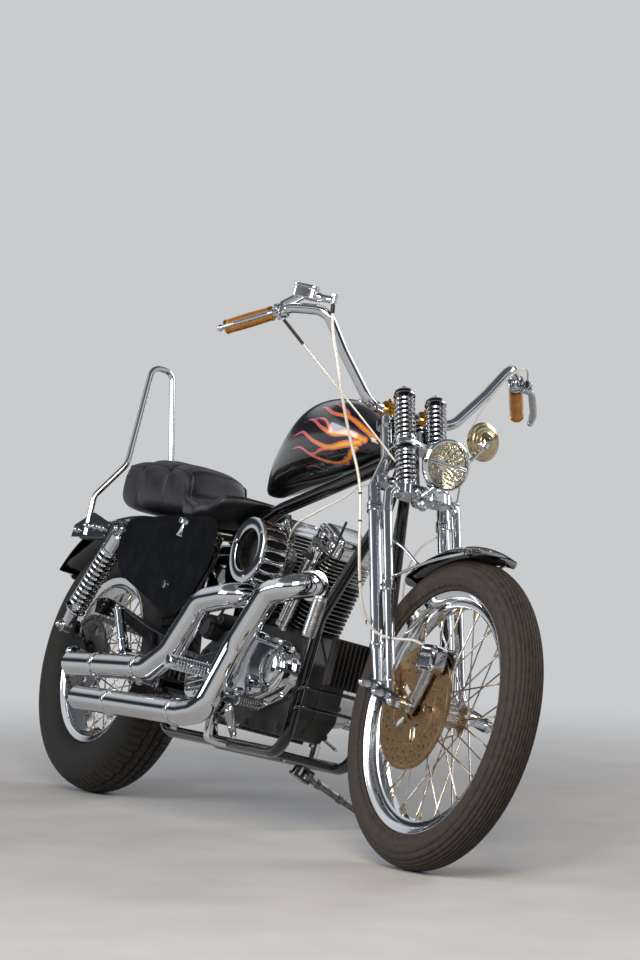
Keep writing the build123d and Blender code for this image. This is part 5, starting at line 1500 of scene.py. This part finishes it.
# Side panels: bulged covers over the oil tank and the battery
panel = flowing_loop([
    (206, 654), (300, 668), (430, 678), (560, 684), (634, 684), (645, 660), (642, 622), (606, 566),
    (566, 516), (536, 503), (496, 503), (400, 533), (300, 560), (232, 582), (210, 606), (200, 632),
], 130)
bulge = [(1.5, 0), (0, 1.5), (0, 18), (0.8, 22), (3, 26), (8, 30), (18, 33.4), (34, 35.6)]
right_panel = rising(panel, bulge, 130.2 * OUT, *FROM_SIDE)
piece("oil_tank_shell", [right_panel], BLACK, "root", ["oil_tank"], crease=50)
piece("battery_cover_shell", [mirrored(right_panel)], BLACK, "root", ["battery_cover"], crease=50)
neck = [(0, 21), (3, 22), (6, 20), (30, 17), (32, 24), (35, 26), (42, 26), (45, 23), (47, 14)]
plug = turned([(-2, 8), (3, 9), (5, 7)], (470, -166, 540), OUT, 24)
piece("oil_filler", [turned(neck, (480, -150, 664), (0.17, 0, 0.98), 40), plug], CHROME, "root")

# Foot controls: a forged pedal and lever, coil-sleeved pegs and their brackets
foot, foot_rubber = [], []
forged = flowing_loop([
    (-8, -10), (8, -13), (40, -8), (74, -22), (112, -60), (124, -66), (128, -54), (112, -34), (80, 8),
    (40, 17), (6, 13), (-8, 8),
], 72)
foot.append(plate(forged, 9, (866, -152, 268), *FROM_SIDE, 2))
for spot in ((938, -161, 266), (972, -161, 228)):
    foot.append(hollow_turned([(0, 5.5), (0, 9.5), (2.4, 9.5), (2.4, 5.5)], spot, OUT, 28))
for side in SIDES:
    out = side * ACROSS
    foot.append(pipe([(842, side * y, z) for y, z in ((66, 192), (132, 192), (148, 212), (148, 346))],
                     10.6, 18, 40, (0.9, 0.1, 0.3)))
    foot.append(turned([(0, 14), (2, 18.6), (24, 18.6), (26, 15)], (842, side * 136, 346), out, 36))
    coil = np.array([842, side * 166, 346.0])
    foot.append(turned([(-6, 15), (-5.6, 17.4), (-1, 17.4), (0, 15)], coil, out, 36))
    foot.append(bar(coil - 4 * out, coil + 128 * out, 14.6, sides=28))
    foot.append(helix(coil + out, out, 15.2, 2.9, 8.2, 15.0, 8, 26))
    end_cap = [(-4, 15), (-3, 17.8), (3, 17.8), (4.6, 15.6), (5.2, 9)]
    foot.append(turned(end_cap, coil + 129 * out, out, 36))
    arm = flowing([(842, 147, 300), (874, 146.4, 308), (920, 146, 306), (962, 146, 300), (1020, 168, 297),
                   (1066, 186, 292), (1094, 191, 290)], 60)
    width = np.interp(np.linspace(0, 1, 60), [0, 0.15, 0.5, 1], [1.35, 1.0, 0.95, 0.8])
    foot.append(carried(arm * [1, side, 1], circle(11, 20, 0.62), (0, 1, 0.02), width))
    foot.append(collar((842, side * 147, 300), ACROSS, -12, 12, 12, 15, 1, 28))
    foot.append(dome_nut((842, side * 159, 300), out, 15))
    foot.append(collar((1094, side * 200, 290), ACROSS, -30, 30, 11, 13, 1.4, 32))
    foot_rubber += [
        collar((1094, side * 200 + ring, 290), ACROSS, -1.6, 1.6, 12.6, 14.4, 0.2, 28)
        for ring in np.linspace(-24, 24, 9)
    ]
    foot.append(hex_bolt((842, side * 148, 358), UP, 13, 7))
    foot.append(bar((842, side * 132, 236), (842, side * 160, 236), 6))
    foot.append(bar((850, side * 150, 262), (966, side * 136, 236), 4.4, sides=14))
piece("foot_control_forgings", foot, CHROME, "root", ["foot_controls"])
piece("pedal_rubbers", foot_rubber, RUBBER, "root")

pegs = []
for side in SIDES:
    hand = (1, side, 1)
    bend = [(446, 82, 352), (446, 140, 352), (438, 156, 352), (400, 157, 352), (330, 156, 352)]
    pegs.append(pipe(np.multiply(bend, hand), 9.4, 16, 60, (0.1, 0.2, 0.97)))
    pegs.append(collar((330, side * 156, 352), ACROSS, -13, 13, 13, 17, 1, 32))
    start, run = np.array([330, side * 158, 350.0]), (-80, side * 4, 112)
    far = np.linalg.norm(run)
    pegs.append(turned([
        (8, 11), (14, 13.4), (34, 13.4), (35, 12), (40, 12), (41, 14.6), (48, 14.6), (49, 13), (90, 13),
        (91, 14.6), (98, 14.6), (99, 13), (far - 8, 13.2), (far - 6, 15.4), (far, 15.4), (far + 1.5, 13),
    ], start, run, 36))
    pegs.append(dome_nut((330, side * 170, 352), side * ACROSS, 14))
    pegs.append(hex_bolt((446, side * 96, 352), side * ACROSS, 17, 8))
piece("passenger_peg_forgings", pegs, CHROME, "root", ["passenger_pegs"])

# Guard bars, chain guard, the fender struts and wiring
bend = np.array([(1150, -104, 300), (1176, -112, 306), (1196, -96, 310), (1200, 0, 312), (1196, 96, 310),
                 (1176, 112, 306), (1150, 104, 300)])
guards = [pipe(bend + lift * UP, 4.6, 12, 90) for lift in (0, 46)]
for side in SIDES:
    guards.append(bar((1186, side * 107, 300), (1186, side * 107, 362), 3.6, sides=12))
    guards.append(hex_bolt((1150, side * 111, 323), side * ACROSS, 12, 6))
piece("front_guard_bars", guards, BLACK, "root")
low_line = flowing([(10, 470), (70, 478), (160, 462), (330, 424), (470, 402), (520, 398)], 70)
top_line = low_line + [0, 10]
guard = np.vstack([low_line - [0, 22], top_line[::-1]])
piece("chain_guard", [
    plate(guard, 4, 106 * OUT, *FROM_SIDE, 1),
    carried(np.insert(top_line, 1, -103.0, 1), rounded_box(22, 3.2, 1.4, 3)),
], BLACK, "root")

outline = flowing_loop([
    (-158, 634), (-120, 628), (20, 634), (160, 640), (240, 646), (246, 668), (150, 680), (20, 684),
    (-100, 676), (-154, 660),
], 80)
strut = plate(outline, 7, 120.6 * OUT, *FROM_SIDE, 2)
strut_bolts = []
for side in SIDES:
    out = side * ACROSS
    for x, z in ((-150, 650), (-98, 664), (-52, 664), (-12, 662)):
        strut_bolts.append(turned([(0, 9), (1.4, 9), (1.4, 7)], (x, side * 136.6, z), out, 24))
        strut_bolts.append(dome_nut((x, side * 137.4, z), out, 12))
    strut_bolts.append(hex_bolt((220, side * 127.6, 657), out, 13, 6))
piece("fender_struts", [strut, mirrored(strut)], BLACK, "root")
piece("sissy_bar_bolts", strut_bolts, CHROME, "root")

wires = []
for start, stop, bow in (
    ((834, -80, 470), (1130, -100, 380), -20), ((934, -98, 690), (820, -60, 760), 14),
    ((1052, -100, 640), (1100, -60, 760), 12), ((560, -96, 470), (700, -100, 560), 16),
    ((604, 90, 560), (760, 112, 470), 18), ((1120, 60, 800), (1052, 92, 640), 10),
):
    wires.append(pipe([start, np.add(start, stop) / 2 + [0, bow, -24], stop], 3.4, 10, 36))
piece("wiring_looms", wires, RUBBER, "root")

# Side stand: two turned collars on its leg
foot_of_leg, leg = np.array([880, 122, 160.0]), np.array([42, 186, -67.0])
piece("side_stand_collars", [
    collar(foot_of_leg + share * leg, leg, -7, 7, 10, 12, 1, 24) for share in (0.18, 0.5)
], STEEL, "side_stand")

# Rear brake caliper and the axle ends
caliper = [plate(rounded_box(62, 54, 14, 6), 27, (63, 104.4, 425), *FROM_SIDE, 3)]
caliper += [socket_bolt((63 + x, 104, 425 + z), ACROSS, 5.4, 5) for x in (-20, 20) for z in (15, -15)]
piece("rear_caliper_body", caliper, CRINKLE, "root", ["rear_caliper"])
axle_nuts = []
for side in SIDES:
    out = side * ACROSS
    axle_nuts.append(turned([(0, 17), (2, 18), (3, 18)], (0, side * 130.6, 336), out, 32))
    axle_nuts.append(dome_nut((0, side * 134, 336), out, 26))
    axle_nuts.append(hex_bolt((470, side * 125, 300), out, 24, 9))
    axle_nuts.append(hex_bolt((60, side * 139, 331), out, 11, 5))
piece("axle_and_pivot_nuts", axle_nuts, CHROME, "root")

# Floor, backdrop and studio light
PALE = "#c9cbcd"
FLOOR_REACH = 40.0
FADE_FROM, FADE_TO = 1.3, 3.4


def pale_stage():
    """A pale floor that keeps the machine's shadow and fades into the backdrop's own colour."""
    material, tree, shader, place = finish(
        "pale_studio_floor", {"Roughness": 0.75, "IOR": 1.45, "Specular IOR Level": 0.2}, (260, 3),
        ("#c6c4c1", "#bebcb8"),
    )
    far = node(tree, "ShaderNodeVectorMath", {0: place}, operation="LENGTH").outputs["Value"]
    fade = node(tree, "ShaderNodeMapRange", {"Value": far, "From Min": FADE_FROM, "From Max": FADE_TO},
                interpolation_type="SMOOTHSTEP").outputs[0]
    glow = node(tree, "ShaderNodeEmission", {"Color": srgb(PALE), "Strength": 1.0})
    mixed = node(tree, "ShaderNodeMixShader", {0: fade, 1: shader.outputs[0], 2: glow.outputs[0]})
    output = next(n for n in tree.nodes if n.type == "OUTPUT_MATERIAL")
    tree.links.new(mixed.outputs[0], output.inputs[0])
    corners = [(x * FLOOR_REACH, y * FLOOR_REACH, 0) for x, y in ((-1, -1), (1, -1), (1, 1), (-1, 1))]
    mesh = bpy.data.meshes.new("studio_floor")
    mesh.from_pydata(corners, [], [(0, 1, 2, 3)])
    mesh.materials.append(material)
    shown("studio_floor", mesh)


def softbox(name, position, aim, size, power, warmth):
    """A rectangular area light that faces a spot."""
    data = bpy.data.lights.new(name, "AREA")
    data.shape = "RECTANGLE"
    data.size, data.size_y = size
    data.energy = power
    data.color = srgb(warmth)[:3]
    back = unit(np.subtract(position, aim))
    side = unit(np.cross(UP, back))
    shown(name, data).matrix_world = placing(side, np.cross(back, side), back, position).T.tolist()


def studio_world():
    """A pale wall low down and a darker ceiling, so that chrome has something to mirror."""
    world = bpy.data.worlds.new("studio")
    bpy.context.scene.world = world
    world.use_nodes = True
    tree = world.node_tree
    tree.nodes.clear()
    place = node(tree, "ShaderNodeTexCoord")
    height = node(tree, "ShaderNodeSeparateXYZ", {"Vector": place.outputs["Generated"]})
    colours = banded(tree, height.outputs["Z"], PALE, "#5b6068", (
        (0.075, PALE), (0.15, "#3c4046"), (0.3, "#2c2f34"), (0.4, "#c9cdd2"), (0.56, "#eef0f2"),
        (0.66, "#6d7178"),
    ))
    light = node(tree, "ShaderNodeBackground", {"Color": colours, "Strength": 1.0})
    output = node(tree, "ShaderNodeOutputWorld")
    tree.links.new(light.outputs[0], output.inputs[0])


pale_stage()
studio_world()
softbox("key_softbox", (4.2, -2.6, 3.6), (0.1, 0, 0.6), (2.4, 2.4), 210, "#fff3e4")
softbox("side_softbox", (-1.5, -5.0, 2.6), (0, 0, 0.6), (3.4, 1.6), 120, "#eef4ff")
softbox("left_softbox", (0.5, 5.0, 3.2), (0, 0, 0.6), (3.2, 2.0), 120, "#f4f6ff")

bpy.context.scene.view_settings.view_transform = "Standard"
